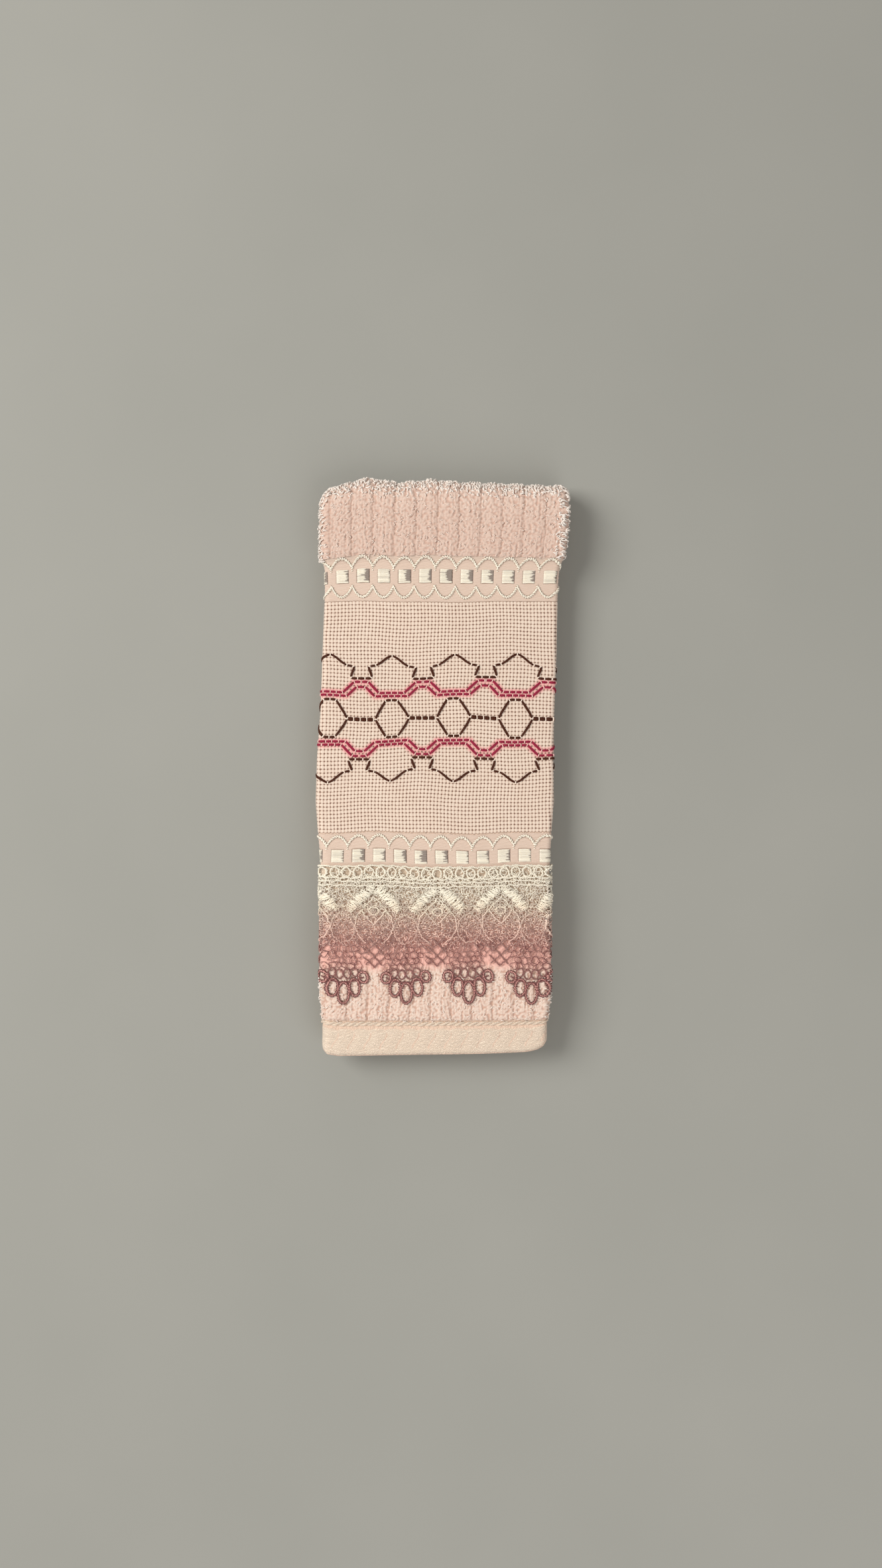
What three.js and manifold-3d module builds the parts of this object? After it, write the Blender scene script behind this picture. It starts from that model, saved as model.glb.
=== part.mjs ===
// A guest towel folded in three across its width and in half along its length, with a woven border
// and a sewn lace trim. It lies on its back half.
// Millimetres. +X runs across the folded front, +Y to the top fold and +Z up.
//
// Both pieces are first described flat: s runs across the cloth from the middle of the front panel,
// t runs along it from the front hem, and "out" is the height above the middle of the cloth on its
// right side. The function foldPoint carries (s, t, out) to the place where that bit of cloth lies.
import * as THREE from 'three';
import { mergeVertices } from 'three/addons/utils/BufferGeometryUtils.js';
import Module from 'manifold-3d';

const wasm = await Module();
wasm.setup();

// The cloth laid flat
const CLOTH_LENGTH = 500;
const CLOTH_LEFT = -148;
const CLOTH_RIGHT = 144;

// Terry thickness with its pile, and the air between layers that press on each other
const TERRY = 2.5;
const LAYER_GAP = 0.4;

// Where the hidden flaps end, short of the side fold that they reach for
const RIGHT_FLAP_SHORT = 7;
const LEFT_FLAP_SHORT = 4;

// The fold in half: where it starts, the outer radius of the turn, and the cloth that it takes
const TURN_START = 240.9;
const TURN_RADIUS = 9.2;
const TURN_LENGTH = 24;
const TURN_END = TURN_START + TURN_LENGTH;
const TURN_MIDDLE = TURN_START + TURN_LENGTH / 2;

// The back half is three layers of terry, a little narrower than the front
const BACK_HEIGHT = 3 * TERRY + 2 * LAYER_GAP;
const TURN_OPENING = 2 * (TURN_RADIUS - BACK_HEIGHT);
const BACK_INSET = 1.5;

// The lace trim
const LACE_THICK = 0.9;
const LACE_GAP = 0.4;
const LACE_TOP = 82.9;
const LACE_END_INSET = 1;
const SCALLOP_PITCH = 27.1;
const SCALLOP_PHASE = 14;
const LACE_LINES = [36, 52.67, 69.33, LACE_TOP];
const LACE_RIM = 1.2;
const LACE_ROOM = LACE_GAP + LACE_THICK + LAYER_GAP;

// The repeat of the woven border and of the terry ribs above it
const RIB_PITCH = 9;
const RIB_GROOVE = 6.4;
const COLUMNS_PER_RIB = 4;

// Softness of the front half: its crown, and slow waves in the cloth
const CROWN = 0.8;
const WAVE = 0.25;
const WAVE_LENGTH_X = 64;
const WAVE_LENGTH_Y = 82;
const HALF_WIDTH = 52;

// How the cloth is made along t. thick: cloth with its pile. flapGap: air between the two side
// flaps. backGap: air between the front and back halves. rib: height of the terry ribs.
// covered: 1 where the lace lies over the side folds.
const WEAVE = [
  { at: 0, thick: 1.6, flapGap: 0.4, backGap: 0.8, rib: 0, covered: 0 },
  { at: 1.2, thick: 2.2, flapGap: 0.4, backGap: 0.6, rib: 0, covered: 0 },
  { at: 11.5, thick: 2.2, flapGap: 0.5, backGap: 0.7, rib: 0, covered: 0 },
  { at: 13.8, thick: 1.7, flapGap: 0.9, backGap: 1, rib: 0, covered: 0.3 },
  { at: 16.8, thick: 2.2, flapGap: 1.3, backGap: 1.4, rib: 0.2, covered: 0.6 },
  { at: 20, thick: 2, flapGap: LACE_ROOM, backGap: LACE_ROOM, rib: 0, covered: 1 },
  { at: 86, thick: 2, flapGap: LACE_ROOM, backGap: LACE_ROOM, rib: 0, covered: 1 },
  { at: 95, thick: 1.6, flapGap: 1, backGap: 1.1, rib: 0, covered: 0.4 },
  { at: 110, thick: 1.4, flapGap: LAYER_GAP, backGap: 0.6, rib: 0, covered: 0 },
  { at: 196, thick: 1.4, flapGap: LAYER_GAP, backGap: 0.6, rib: 0, covered: 0 },
  { at: 206, thick: 1.5, flapGap: LAYER_GAP, backGap: 0.8, rib: 0, covered: 0 },
  { at: 214, thick: 1.8, flapGap: LAYER_GAP, backGap: 1, rib: 0, covered: 0 },
  { at: 218.5, thick: TERRY, flapGap: LAYER_GAP, backGap: 1.2, rib: 0.35, covered: 0 },
  { at: TURN_START, thick: TERRY, flapGap: LAYER_GAP, backGap: TURN_OPENING, rib: 0.35, covered: 0 },
  { at: TURN_MIDDLE, thick: TERRY, flapGap: LAYER_GAP, backGap: 0, rib: 0.35, covered: 0 },
  { at: TURN_END, thick: TERRY, flapGap: LAYER_GAP, backGap: 0, rib: 0, covered: 0 },
  { at: 485, thick: TERRY, flapGap: LAYER_GAP, backGap: 0, rib: 0, covered: 0 },
  { at: CLOTH_LENGTH, thick: 2.2, flapGap: 0.7, backGap: 0, rib: 0, covered: 0 },
];

// The folded outline. left and right: the two side folds. middle: where the line s = 0 runs.
// stretch: how far the cloth is pulled out across.
const OUTLINE = [
  { at: 0, left: -49.9, right: 47.6, middle: -0.6, stretch: 1 },
  { at: 13.1, left: -50, right: 47.7, middle: -0.5, stretch: 1 },
  { at: 18.8, left: -50.9, right: 49, middle: -0.4, stretch: 1 },
  { at: 27.4, left: -51.9, right: 50.1, middle: -0.4, stretch: 1 },
  { at: 35.9, left: -51.9, right: 50.4, middle: -0.4, stretch: 1 },
  { at: 55.8, left: -51.6, right: 50, middle: -0.3, stretch: 1 },
  { at: 84.3, left: -51.9, right: 50.1, middle: -0.2, stretch: 1.005 },
  { at: 98.6, left: -52.1, right: 50.1, middle: -0.1, stretch: 1.005 },
  { at: 110, left: -52.4, right: 50.8, middle: 0.1, stretch: 1 },
  { at: 129.9, left: -51.6, right: 50.6, middle: 0.4, stretch: 1 },
  { at: 147, left: -50.1, right: 50.9, middle: 0.8, stretch: 1 },
  { at: 169.8, left: -49.2, right: 51.8, middle: 1.3, stretch: 0.996 },
  { at: 198.3, left: -48.4, right: 52.4, middle: 1.5, stretch: 0.995 },
  { at: 212.5, left: -48.7, right: 53, middle: 1.7, stretch: 1 },
  { at: 218.5, left: -50.4, right: 55.4, middle: 2.4, stretch: 1.02 },
  { at: 232.5, left: -50.4, right: 56.6, middle: 3, stretch: 1.035 },
  { at: 251, left: -50.2, right: 56.6, middle: 3.2, stretch: 1.035 },
];

// How far the top fold, and the open hem, sit above their own line at each place across
const TOP_EDGE = [
  { at: -52, rise: -12 },
  { at: -49, rise: -8.4 },
  { at: -45, rise: -5.4 },
  { at: -38.7, rise: -2.6 },
  { at: -33, rise: 0.1 },
  { at: -28, rise: 0.2 },
  { at: -17, rise: -1.7 },
  { at: -3, rise: -0.3 },
  { at: 12, rise: -1.5 },
  { at: 29, rise: -2.4 },
  { at: 45, rise: -3.9 },
  { at: 53, rise: -5.6 },
  { at: 58, rise: -9.5 },
];
const HEM_EDGE = [
  { at: -50, rise: 3.4 },
  { at: -48, rise: 0.8 },
  { at: -43, rise: 0 },
  { at: 20, rise: 1.1 },
  { at: 38, rise: 1.7 },
  { at: 43, rise: 2.6 },
  { at: 46, rise: 4.2 },
  { at: 48, rise: 7.5 },
];
const TOP_EDGE_FADE = 46;
const HEM_EDGE_FADE = 20;

// The lower edge of one lace scallop, from its tip to the valley beside it
const SCALLOP_EDGE = [
  { at: 0, t: 22.9 },
  { at: 2.6, t: 24.4 },
  { at: 4.2, t: 25.9 },
  { at: 7, t: 27.4 },
  { at: 8, t: 31.8 },
  { at: 10.6, t: 33.6 },
  { at: 11.5, t: 38.4 },
  { at: 13.55, t: 39.4 },
];

// Gaps in the lace wider than 4 mm, within one scallop. across: from the scallop's middle.
// round: 2 for an ellipse and 1 for a diamond.
const LACE_GAPS = [
  { across: 0, t: 28.8, width: 3.5, height: 6.8, round: 2 },
  { across: -4.7, t: 30.7, width: 3.1, height: 5.4, round: 2 },
  { across: 4.7, t: 30.7, width: 3.1, height: 5.4, round: 2 },
  { across: SCALLOP_PITCH / 2, t: 46.9, width: 4.3, height: 4.5, round: 1 },
];
const GAP_SLICES = 6;
const GAP_CUT_PAST = 0.3;

// Straight interpolation of one column between the rows of a table
function along(table, at, column) {
  const last = table.length - 1;
  let i = 0;
  while (i < last - 1 && table[i + 1].at < at) i += 1;
  const low = table[i];
  const high = table[i + 1];
  const f = THREE.MathUtils.clamp((at - low.at) / (high.at - low.at), 0, 1);
  return THREE.MathUtils.lerp(low[column], high[column], f);
}

// The cross section of the folded cloth at t: layer depths, radii of the two side folds, and the
// places across where the front panel runs into them
function crossSection(t) {
  const turn = THREE.MathUtils.clamp((t - TURN_START) / TURN_LENGTH, 0, 1);
  const angle = turn * Math.PI;
  const y = t <= TURN_END
    ? Math.min(t, TURN_START) + TURN_RADIUS * Math.sin(angle)
    : TURN_START - (t - TURN_END);
  const thick = along(WEAVE, t, 'thick');
  const rightDepth = thick + LAYER_GAP;
  const leftDepth = rightDepth + thick + along(WEAVE, t, 'flapGap');
  const inset = BACK_INSET * turn + (LACE_GAP + LACE_THICK) * along(WEAVE, t, 'covered');
  const panelLeft = along(OUTLINE, y, 'left') + inset + (leftDepth + thick) / 2;
  const panelRight = along(OUTLINE, y, 'right') - inset - (rightDepth + thick) / 2;
  const middle = along(OUTLINE, y, 'middle');
  const stretch = along(OUTLINE, y, 'stretch');
  const leftFold = (panelLeft - middle) / stretch;
  const rightFold = (panelRight - middle) / stretch;
  return {
    angle, thick, rightDepth, leftDepth, panelLeft, panelRight, middle, stretch, leftFold, rightFold,
    leftFlap: leftFold - Math.PI * leftDepth / 2,
    rightFlap: rightFold + Math.PI * rightDepth / 2,
    leftFlapEnd: panelRight + (rightDepth + thick) / 2 - LEFT_FLAP_SHORT,
    rightFlapEnd: panelLeft - (leftDepth + thick) / 2 + RIGHT_FLAP_SHORT,
  };
}

// Where s lies in the cross section: x, the depth behind the front panel, and the direction of
// the cloth's right side there
function inSection(s, cut) {
  if (s > cut.rightFlap) {
    const f = (s - cut.rightFlap) / (CLOTH_RIGHT - cut.rightFlap);
    const x = THREE.MathUtils.lerp(cut.panelRight, cut.rightFlapEnd, f);
    return { x, depth: cut.rightDepth, outX: 0, outDepth: 1 };
  }
  if (s > cut.rightFold) {
    const radius = cut.rightDepth / 2;
    const a = (s - cut.rightFold) / radius;
    return {
      x: cut.panelRight + radius * Math.sin(a),
      depth: radius * (1 - Math.cos(a)),
      outX: Math.sin(a),
      outDepth: -Math.cos(a),
    };
  }
  if (s >= cut.leftFold) {
    return { x: cut.middle + s * cut.stretch, depth: 0, outX: 0, outDepth: -1 };
  }
  if (s >= cut.leftFlap) {
    const radius = cut.leftDepth / 2;
    const a = (cut.leftFold - s) / radius;
    return {
      x: cut.panelLeft - radius * Math.sin(a),
      depth: radius * (1 - Math.cos(a)),
      outX: -Math.sin(a),
      outDepth: -Math.cos(a),
    };
  }
  const f = (s - cut.leftFlap) / (CLOTH_LEFT - cut.leftFlap);
  const x = THREE.MathUtils.lerp(cut.panelLeft, cut.leftFlapEnd, f);
  return { x, depth: cut.leftDepth, outX: 0, outDepth: 1 };
}

// The gentle rise of the front half, never below zero
function swell(x, y) {
  const across = THREE.MathUtils.clamp(x / HALF_WIDTH, -1, 1);
  const waves = 1 + Math.sin(2 * Math.PI * (x / WAVE_LENGTH_X + y / WAVE_LENGTH_Y));
  return (CROWN + WAVE * waves) * (1 - across * across);
}

function foldPoint(s, t, out) {
  const cut = crossSection(t);
  const here = inSection(s, cut);
  const x = here.x + out * here.outX;
  const depth = here.depth + out * here.outDepth;
  let y;
  let z;
  if (t <= TURN_START) {
    const panel = BACK_HEIGHT + along(WEAVE, t, 'backGap') + cut.leftDepth + cut.thick / 2;
    y = t;
    z = panel - depth + swell(x, y) * THREE.MathUtils.smoothstep(TURN_START - t, 0, TOP_EDGE_FADE);
  } else if (t < TURN_END) {
    const radius = TURN_RADIUS - cut.thick / 2 - depth;
    y = TURN_START + radius * Math.sin(cut.angle);
    z = TURN_RADIUS + radius * Math.cos(cut.angle);
  } else {
    y = TURN_START - (t - TURN_END);
    z = cut.thick / 2 + depth;
  }
  const nearTop = THREE.MathUtils.smoothstep(y, TURN_START - TOP_EDGE_FADE, TURN_START);
  const nearHem = 1 - THREE.MathUtils.smoothstep(y, 0, HEM_EDGE_FADE);
  y += along(TOP_EDGE, x, 'rise') * nearTop + along(HEM_EDGE, x, 'rise') * nearHem;
  return new THREE.Vector3(x, y, z);
}

// A closed solid from a grid of corners. corner(i, j, side) gives the point of column i and row j
// on the right side (1) or the wrong side (0) of the cloth.
function gridSolid(columns, rows, corner) {
  const positions = [];
  const indices = [];
  for (const side of [1, 0]) {
    for (let j = 0; j <= rows; j += 1) {
      for (let i = 0; i <= columns; i += 1) positions.push(...corner(i, j, side).toArray());
    }
  }
  const layer = (columns + 1) * (rows + 1);
  const at = (i, j, side) => (1 - side) * layer + j * (columns + 1) + i;
  const quad = (a, b, c, d) => indices.push(a, b, c, a, c, d);
  for (let j = 0; j < rows; j += 1) {
    for (let i = 0; i < columns; i += 1) {
      quad(at(i, j, 1), at(i + 1, j, 1), at(i + 1, j + 1, 1), at(i, j + 1, 1));
      quad(at(i, j, 0), at(i, j + 1, 0), at(i + 1, j + 1, 0), at(i + 1, j, 0));
    }
    quad(at(0, j, 0), at(0, j, 1), at(0, j + 1, 1), at(0, j + 1, 0));
    quad(at(columns, j, 1), at(columns, j, 0), at(columns, j + 1, 0), at(columns, j + 1, 1));
  }
  for (let i = 0; i < columns; i += 1) {
    quad(at(i, 0, 0), at(i + 1, 0, 0), at(i + 1, 0, 1), at(i, 0, 1));
    quad(at(i, rows, 1), at(i + 1, rows, 1), at(i + 1, rows, 0), at(i, rows, 0));
  }
  const geometry = new THREE.BufferGeometry();
  geometry.setAttribute('position', new THREE.Float32BufferAttribute(positions, 3));
  geometry.setIndex(indices);
  return geometry;
}

// Evenly spaced numbers from a to b, without b itself
function steps(a, b, count) {
  return Array.from({ length: count }, (_, i) => THREE.MathUtils.lerp(a, b, i / count));
}

// The cloth: one sheet of terry, flat weave and hem, folded in three and then in half
const FLAP_COLUMNS = 4;
const LEFT_FOLD_COLUMNS = 8;
const RIGHT_FOLD_COLUMNS = 6;
const FIRST_RIB_COLUMN = -44.225;
const RIB_COLUMNS = 40;

function clothColumns(t) {
  const cut = crossSection(t);
  const ribStep = RIB_PITCH / COLUMNS_PER_RIB;
  return [
    ...steps(CLOTH_LEFT, cut.leftFlap, FLAP_COLUMNS),
    ...steps(cut.leftFlap, cut.leftFold, LEFT_FOLD_COLUMNS),
    cut.leftFold,
    ...steps(FIRST_RIB_COLUMN, FIRST_RIB_COLUMN + RIB_COLUMNS * ribStep, RIB_COLUMNS),
    ...steps(cut.rightFold, cut.rightFlap, RIGHT_FOLD_COLUMNS),
    ...steps(cut.rightFlap, CLOTH_RIGHT, FLAP_COLUMNS),
    CLOTH_RIGHT,
  ];
}

function clothRows() {
  return [
    0, 1.2, 11.5, 13.8, 16.8, 20,
    ...LACE_LINES.slice(0, 3),
    86, 95, 110, 131, 153, 175, 196, 206, 214, 218.5, 226, 233,
    ...steps(TURN_START, TURN_END, 9),
    TURN_END, 330, 400, 485, CLOTH_LENGTH,
  ];
}

// Height of the terry ribs: a crest half-way between two grooves, on the front panel only
function ribHeight(s, t, cut) {
  if (s < cut.leftFlap || s > cut.rightFlap) return 0;
  const wave = 0.5 - 0.5 * Math.cos(2 * Math.PI * (s - RIB_GROOVE) / RIB_PITCH);
  return along(WEAVE, t, 'rib') * wave;
}

function towelCloth() {
  const rows = clothRows();
  const columns = rows.map((t) => clothColumns(t));
  const sections = rows.map((t) => crossSection(t));
  return gridSolid(columns[0].length - 1, rows.length - 1, (i, j, side) => {
    const s = columns[j][i];
    const t = rows[j];
    const half = sections[j].thick / 2;
    return foldPoint(s, t, side ? half + ribHeight(s, t, sections[j]) : -half);
  });
}

// The lace: a scalloped band on the cloth's right side, over its whole width
const LACE_FOLDS = [
  { from: -58, to: -44.5, step: 0.9 },
  { from: 44.5, to: 52.5, step: 0.5 },
];
const LEAST_COLUMN = 0.3;

// Distance from s to the middle of its scallop, from 0 to half the pitch
function inScallop(s) {
  const repeats = (s - SCALLOP_PHASE) / SCALLOP_PITCH;
  return Math.abs(repeats - Math.round(repeats)) * SCALLOP_PITCH;
}

function laceColumns() {
  const left = CLOTH_LEFT + LACE_END_INSET;
  const right = CLOTH_RIGHT - LACE_END_INSET;
  const inFold = (s) => LACE_FOLDS.some((fold) => s >= fold.from && s <= fold.to);
  const columns = [];
  for (const fold of LACE_FOLDS) {
    const count = Math.round((fold.to - fold.from) / fold.step);
    columns.push(...steps(fold.from, fold.to, count), fold.to);
  }
  const first = Math.floor((left - SCALLOP_PHASE) / SCALLOP_PITCH);
  const last = Math.ceil((right - SCALLOP_PHASE) / SCALLOP_PITCH);
  for (let k = first; k <= last; k += 1) {
    for (const point of SCALLOP_EDGE) {
      for (const sign of [-1, 1]) {
        const s = SCALLOP_PHASE + k * SCALLOP_PITCH + sign * point.at;
        if (s > left + LEAST_COLUMN && s < right - LEAST_COLUMN && !inFold(s)) columns.push(s);
      }
    }
  }
  columns.sort((a, b) => a - b);
  const spaced = columns.filter((s, i) => i === 0 || s - columns[i - 1] > LEAST_COLUMN);
  return [left, ...spaced, right];
}

function laceSheet() {
  const columns = laceColumns();
  return gridSolid(columns.length - 1, LACE_LINES.length, (i, j, side) => {
    const s = columns[i];
    const edge = along(SCALLOP_EDGE, inScallop(s), 't');
    const t = j ? Math.max(LACE_LINES[j - 1], edge + LACE_RIM) : edge;
    const near = crossSection(t).thick / 2 + LACE_GAP;
    return foldPoint(s, t, side ? near + LACE_THICK : near);
  });
}

// What one gap takes out of the lace: slices across the gap, each as tall as the gap is there
function gapCutter(middle, gap) {
  return gridSolid(GAP_SLICES, 1, (i, j, side) => {
    const across = THREE.MathUtils.lerp(-0.97, 0.97, i / GAP_SLICES);
    const half = 0.5 * gap.height * (1 - Math.abs(across) ** gap.round) ** (1 / gap.round);
    const s = middle + gap.across + across * 0.5 * gap.width;
    const t = gap.t + (j ? half : -half);
    const near = crossSection(t).thick / 2 + LACE_GAP;
    return foldPoint(s, t, side ? near + LACE_THICK + GAP_CUT_PAST : near - GAP_CUT_PAST);
  });
}

function toSolid(geometry) {
  const merged = mergeVertices(geometry);
  return new wasm.Manifold(new wasm.Mesh({
    numProp: 3,
    vertProperties: new Float32Array(merged.attributes.position.array),
    triVerts: new Uint32Array(merged.index.array),
  }));
}

function fromSolid(solid) {
  const mesh = solid.getMesh();
  const geometry = new THREE.BufferGeometry();
  geometry.setAttribute('position', new THREE.BufferAttribute(mesh.vertProperties, 3));
  geometry.setIndex(new THREE.BufferAttribute(mesh.triVerts, 1));
  return geometry;
}

function laceTrim() {
  let lace = toSolid(laceSheet());
  const first = Math.ceil((CLOTH_LEFT - SCALLOP_PHASE) / SCALLOP_PITCH);
  const last = Math.floor((CLOTH_RIGHT - SCALLOP_PHASE) / SCALLOP_PITCH);
  for (let k = first; k <= last; k += 1) {
    for (const gap of LACE_GAPS) {
      const middle = SCALLOP_PHASE + k * SCALLOP_PITCH;
      const centre = middle + gap.across;
      const whole = centre - gap.width > CLOTH_LEFT && centre + gap.width < CLOTH_RIGHT;
      if (whole) lace = lace.subtract(toSolid(gapCutter(middle, gap)));
    }
  }
  return fromSolid(lace);
}

function named(name, geometry, colour, roughness) {
  const merged = mergeVertices(geometry);
  merged.computeVertexNormals();
  const material = new THREE.MeshStandardMaterial({ color: colour, roughness, metalness: 0 });
  const mesh = new THREE.Mesh(merged, material);
  mesh.name = name;
  return mesh;
}

const group = new THREE.Group();
group.add(named('towel_cloth', towelCloth(), 0xe3c9b4, 0.95));
group.add(named('lace_trim', laceTrim(), 0xc9a08c, 0.8));

// The origin is the middle of the underside
const box = new THREE.Box3().setFromObject(group, true);
group.position.set(-(box.min.x + box.max.x) / 2, -(box.min.y + box.max.y) / 2, -box.min.z);
group.updateMatrixWorld(true);

export default group;
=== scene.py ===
# %% [markdown]
# A folded guest towel
#
# The towel is one woven cloth with four kinds of weave: looped terry, jacquard bands, an open even
# weave and a flat hem. A scalloped lace trim is sewn over the terry. It is folded in three across
# its width and then in half. Everything here is first laid out on the flat cloth, in millimetres,
# and one function then carries each point to the place where that bit of cloth lies when folded.

# %% Libraries and the fixed frame
import math

import bpy
import numpy as np
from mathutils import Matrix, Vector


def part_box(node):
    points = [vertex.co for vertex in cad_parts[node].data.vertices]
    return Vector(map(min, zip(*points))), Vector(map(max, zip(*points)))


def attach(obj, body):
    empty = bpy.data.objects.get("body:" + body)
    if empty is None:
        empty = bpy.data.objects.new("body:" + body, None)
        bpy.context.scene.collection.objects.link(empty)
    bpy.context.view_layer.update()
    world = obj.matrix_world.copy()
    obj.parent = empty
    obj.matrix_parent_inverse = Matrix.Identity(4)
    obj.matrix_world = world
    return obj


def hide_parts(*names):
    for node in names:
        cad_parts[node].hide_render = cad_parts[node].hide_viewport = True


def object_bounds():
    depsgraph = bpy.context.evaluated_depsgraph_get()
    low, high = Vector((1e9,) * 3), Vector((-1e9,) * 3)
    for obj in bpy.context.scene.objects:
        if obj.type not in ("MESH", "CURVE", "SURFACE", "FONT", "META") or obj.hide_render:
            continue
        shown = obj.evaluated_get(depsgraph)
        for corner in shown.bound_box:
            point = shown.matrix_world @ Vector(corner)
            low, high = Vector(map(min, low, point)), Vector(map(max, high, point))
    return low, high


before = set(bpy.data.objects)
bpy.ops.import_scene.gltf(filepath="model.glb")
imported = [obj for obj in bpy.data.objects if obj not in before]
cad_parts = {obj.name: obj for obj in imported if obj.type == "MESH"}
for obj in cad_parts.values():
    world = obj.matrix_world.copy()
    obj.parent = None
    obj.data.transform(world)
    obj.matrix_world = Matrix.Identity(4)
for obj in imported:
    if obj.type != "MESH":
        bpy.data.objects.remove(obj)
CAD_BOX = [list(corner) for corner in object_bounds()]
MM = 0.001
random = np.random.default_rng(7)
print("CAD box in metres", CAD_BOX)

# %% [markdown]
# The photograph looks straight down at the towel. Its scale is read from the towel itself: a 30 by
# 50 cm guest towel is 250 mm long when folded in half, and is 878 pixels long in the picture. The
# camera's lens is worked out from that scale and from a height at which such a picture is taken.

# %% Camera, straight down
PICTURE_HEIGHT = 2364
PIXELS_PER_MM = 3.51
CAMERA_HEIGHT = 0.66
TOWEL_TOP = CAD_BOX[1][2]
PICTURE_CENTRE = (-0.0002, -0.0073)
SENSOR = 36.0

camera_data = bpy.data.cameras.new("camera")
camera = bpy.data.objects.new("camera", camera_data)
bpy.context.scene.collection.objects.link(camera)
bpy.context.scene.camera = camera
camera.location = (PICTURE_CENTRE[0], PICTURE_CENTRE[1], CAMERA_HEIGHT)
camera_data.sensor_fit = "VERTICAL"
camera_data.sensor_height = SENSOR
seen_height = PICTURE_HEIGHT / PIXELS_PER_MM * MM
camera_data.lens = SENSOR * (CAMERA_HEIGHT - TOWEL_TOP) / seen_height
camera_data.clip_start = 0.01
print("lens in mm", round(camera_data.lens, 1))


# %% [markdown]
# Every colour in this file is written as it would be picked on a screen, as an sRGB hex value, and
# one function turns it into the linear light that the renderer works in. Small helpers add a node,
# set it and link it, so that a material reads as a short list of what it is made of.

# %% Colours and nodes
def linear(colour):
    """sRGB hex to linear light: c / 12.92 when dark, else ((c + 0.055) / 1.055) to the power 2.4."""
    parts = [int(colour[i:i + 2], 16) / 255 for i in (1, 3, 5)]
    return [c / 12.92 if c <= 0.04045 else ((c + 0.055) / 1.055) ** 2.4 for c in parts] + [1.0]


def add(tree, kind, sockets=None, **settings):
    """Adds one node, sets its properties, and fills or links its sockets by name or number."""
    made = tree.nodes.new(kind)
    for name, value in settings.items():
        setattr(made, name, value)
    for name, value in (sockets or {}).items():
        if isinstance(value, bpy.types.NodeSocket):
            tree.links.new(value, made.inputs[name])
        else:
            made.inputs[name].default_value = value
    return made


def blank_material(name):
    """A node material with only its output, and the tree to build in."""
    material = bpy.data.materials.new(name)
    material.use_nodes = True
    material.node_tree.nodes.clear()
    return material, material.node_tree


def colour_between(tree, factor, first, second):
    """A mix of two colours, each a hex value or a socket."""
    first = linear(first) if isinstance(first, str) else first
    second = linear(second) if isinstance(second, str) else second
    return add(tree, "ShaderNodeMix", {0: factor, 6: first, 7: second}, data_type="RGBA").outputs[2]


def sum_of(tree, kind, first, second=0.0):
    """One step of arithmetic on numbers or sockets."""
    return add(tree, "ShaderNodeMath", {0: first, 1: second}, operation=kind).outputs[0]


def vector_of(tree, kind, first, second=(0.0, 0.0, 0.0)):
    """One step of arithmetic on vectors. The length of a vector comes out as a number."""
    made = add(tree, "ShaderNodeVectorMath", {0: first, 1: second}, operation=kind)
    return made.outputs["Value" if kind == "LENGTH" else "Vector"]


def ramp_of(tree, value, low, high):
    """0 where the value is at low, 1 where it is at high, and straight between them."""
    return add(tree, "ShaderNodeMapRange", {"Value": value, "From Min": low, "From Max": high}).outputs[0]


def attribute_of(tree, name):
    """A number that the mesh keeps on its points."""
    return add(tree, "ShaderNodeAttribute", attribute_name=name).outputs["Fac"]


def object_place(tree):
    """The place on the piece, in metres."""
    return add(tree, "ShaderNodeTexCoord").outputs["Object"]


def cloth_place(tree):
    """The place on the flat cloth, in millimetres."""
    return add(tree, "ShaderNodeUVMap", uv_map="cloth_mm").outputs[0]


def along_cloth(tree):
    """How far along the flat cloth a place is, in millimetres from the front hem."""
    return add(tree, "ShaderNodeSeparateXYZ", {0: cloth_place(tree)}).outputs["Y"]


def noise_of(tree, place, size, detail):
    """Soft noise in blotches about size millimetres across."""
    sockets = {"Vector": place, "Scale": 1 / (size * MM), "Detail": detail}
    return add(tree, "ShaderNodeTexNoise", sockets).outputs[0]


def bump_of(tree, height, strength, depth):
    """Relief too fine to model, depth millimetres deep."""
    sockets = {"Height": height, "Strength": strength, "Distance": depth * MM}
    return add(tree, "ShaderNodeBump", sockets).outputs[0]


def finish_of(tree, sockets):
    """The surface with its sockets filled, joined to the material's output."""
    surface = add(tree, "ShaderNodeBsdfPrincipled", sockets)
    add(tree, "ShaderNodeOutputMaterial", {"Surface": surface.outputs[0]})


# %% [markdown]
# The stage is a plain grey floor. The towel is lit as in a bright room: one large soft light from
# the upper left, a weaker one from the lower right, and an even pale surround that fills the
# shadows between the loops.

# %% Stage and light
def plain_floor():
    """A flat square under the towel, a thin sheet with its top at z = 0."""
    half = 1.5
    mesh = bpy.data.meshes.new("floor")
    corners = [(-half, -half, 0), (half, -half, 0), (half, half, 0), (-half, half, 0)]
    mesh.from_pydata(corners, [], [(0, 1, 2, 3)])
    floor = bpy.data.objects.new("floor", mesh)
    bpy.context.scene.collection.objects.link(floor)
    material, tree = blank_material("matt_paper")
    sockets = {"Vector": object_place(tree), "Scale": 9.0, "Detail": 3.0}
    mottle = add(tree, "ShaderNodeTexNoise", sockets).outputs[0]
    finish_of(tree, {"Base Color": colour_between(tree, mottle, "#999a95", "#a2a29d"), "Roughness": 0.8})
    mesh.materials.append(material)


def soft_light(name, place, size, power, colour):
    """A square area light that points at the middle of the towel."""
    data = bpy.data.lights.new(name, "AREA")
    data.size = size
    data.energy = power
    data.color = linear(colour)[:3]
    lamp = bpy.data.objects.new(name, data)
    bpy.context.scene.collection.objects.link(lamp)
    lamp.location = place
    x, y, z = place
    lamp.rotation_euler = (math.atan2(math.hypot(x, y), z), 0, math.atan2(x, -y))


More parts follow.
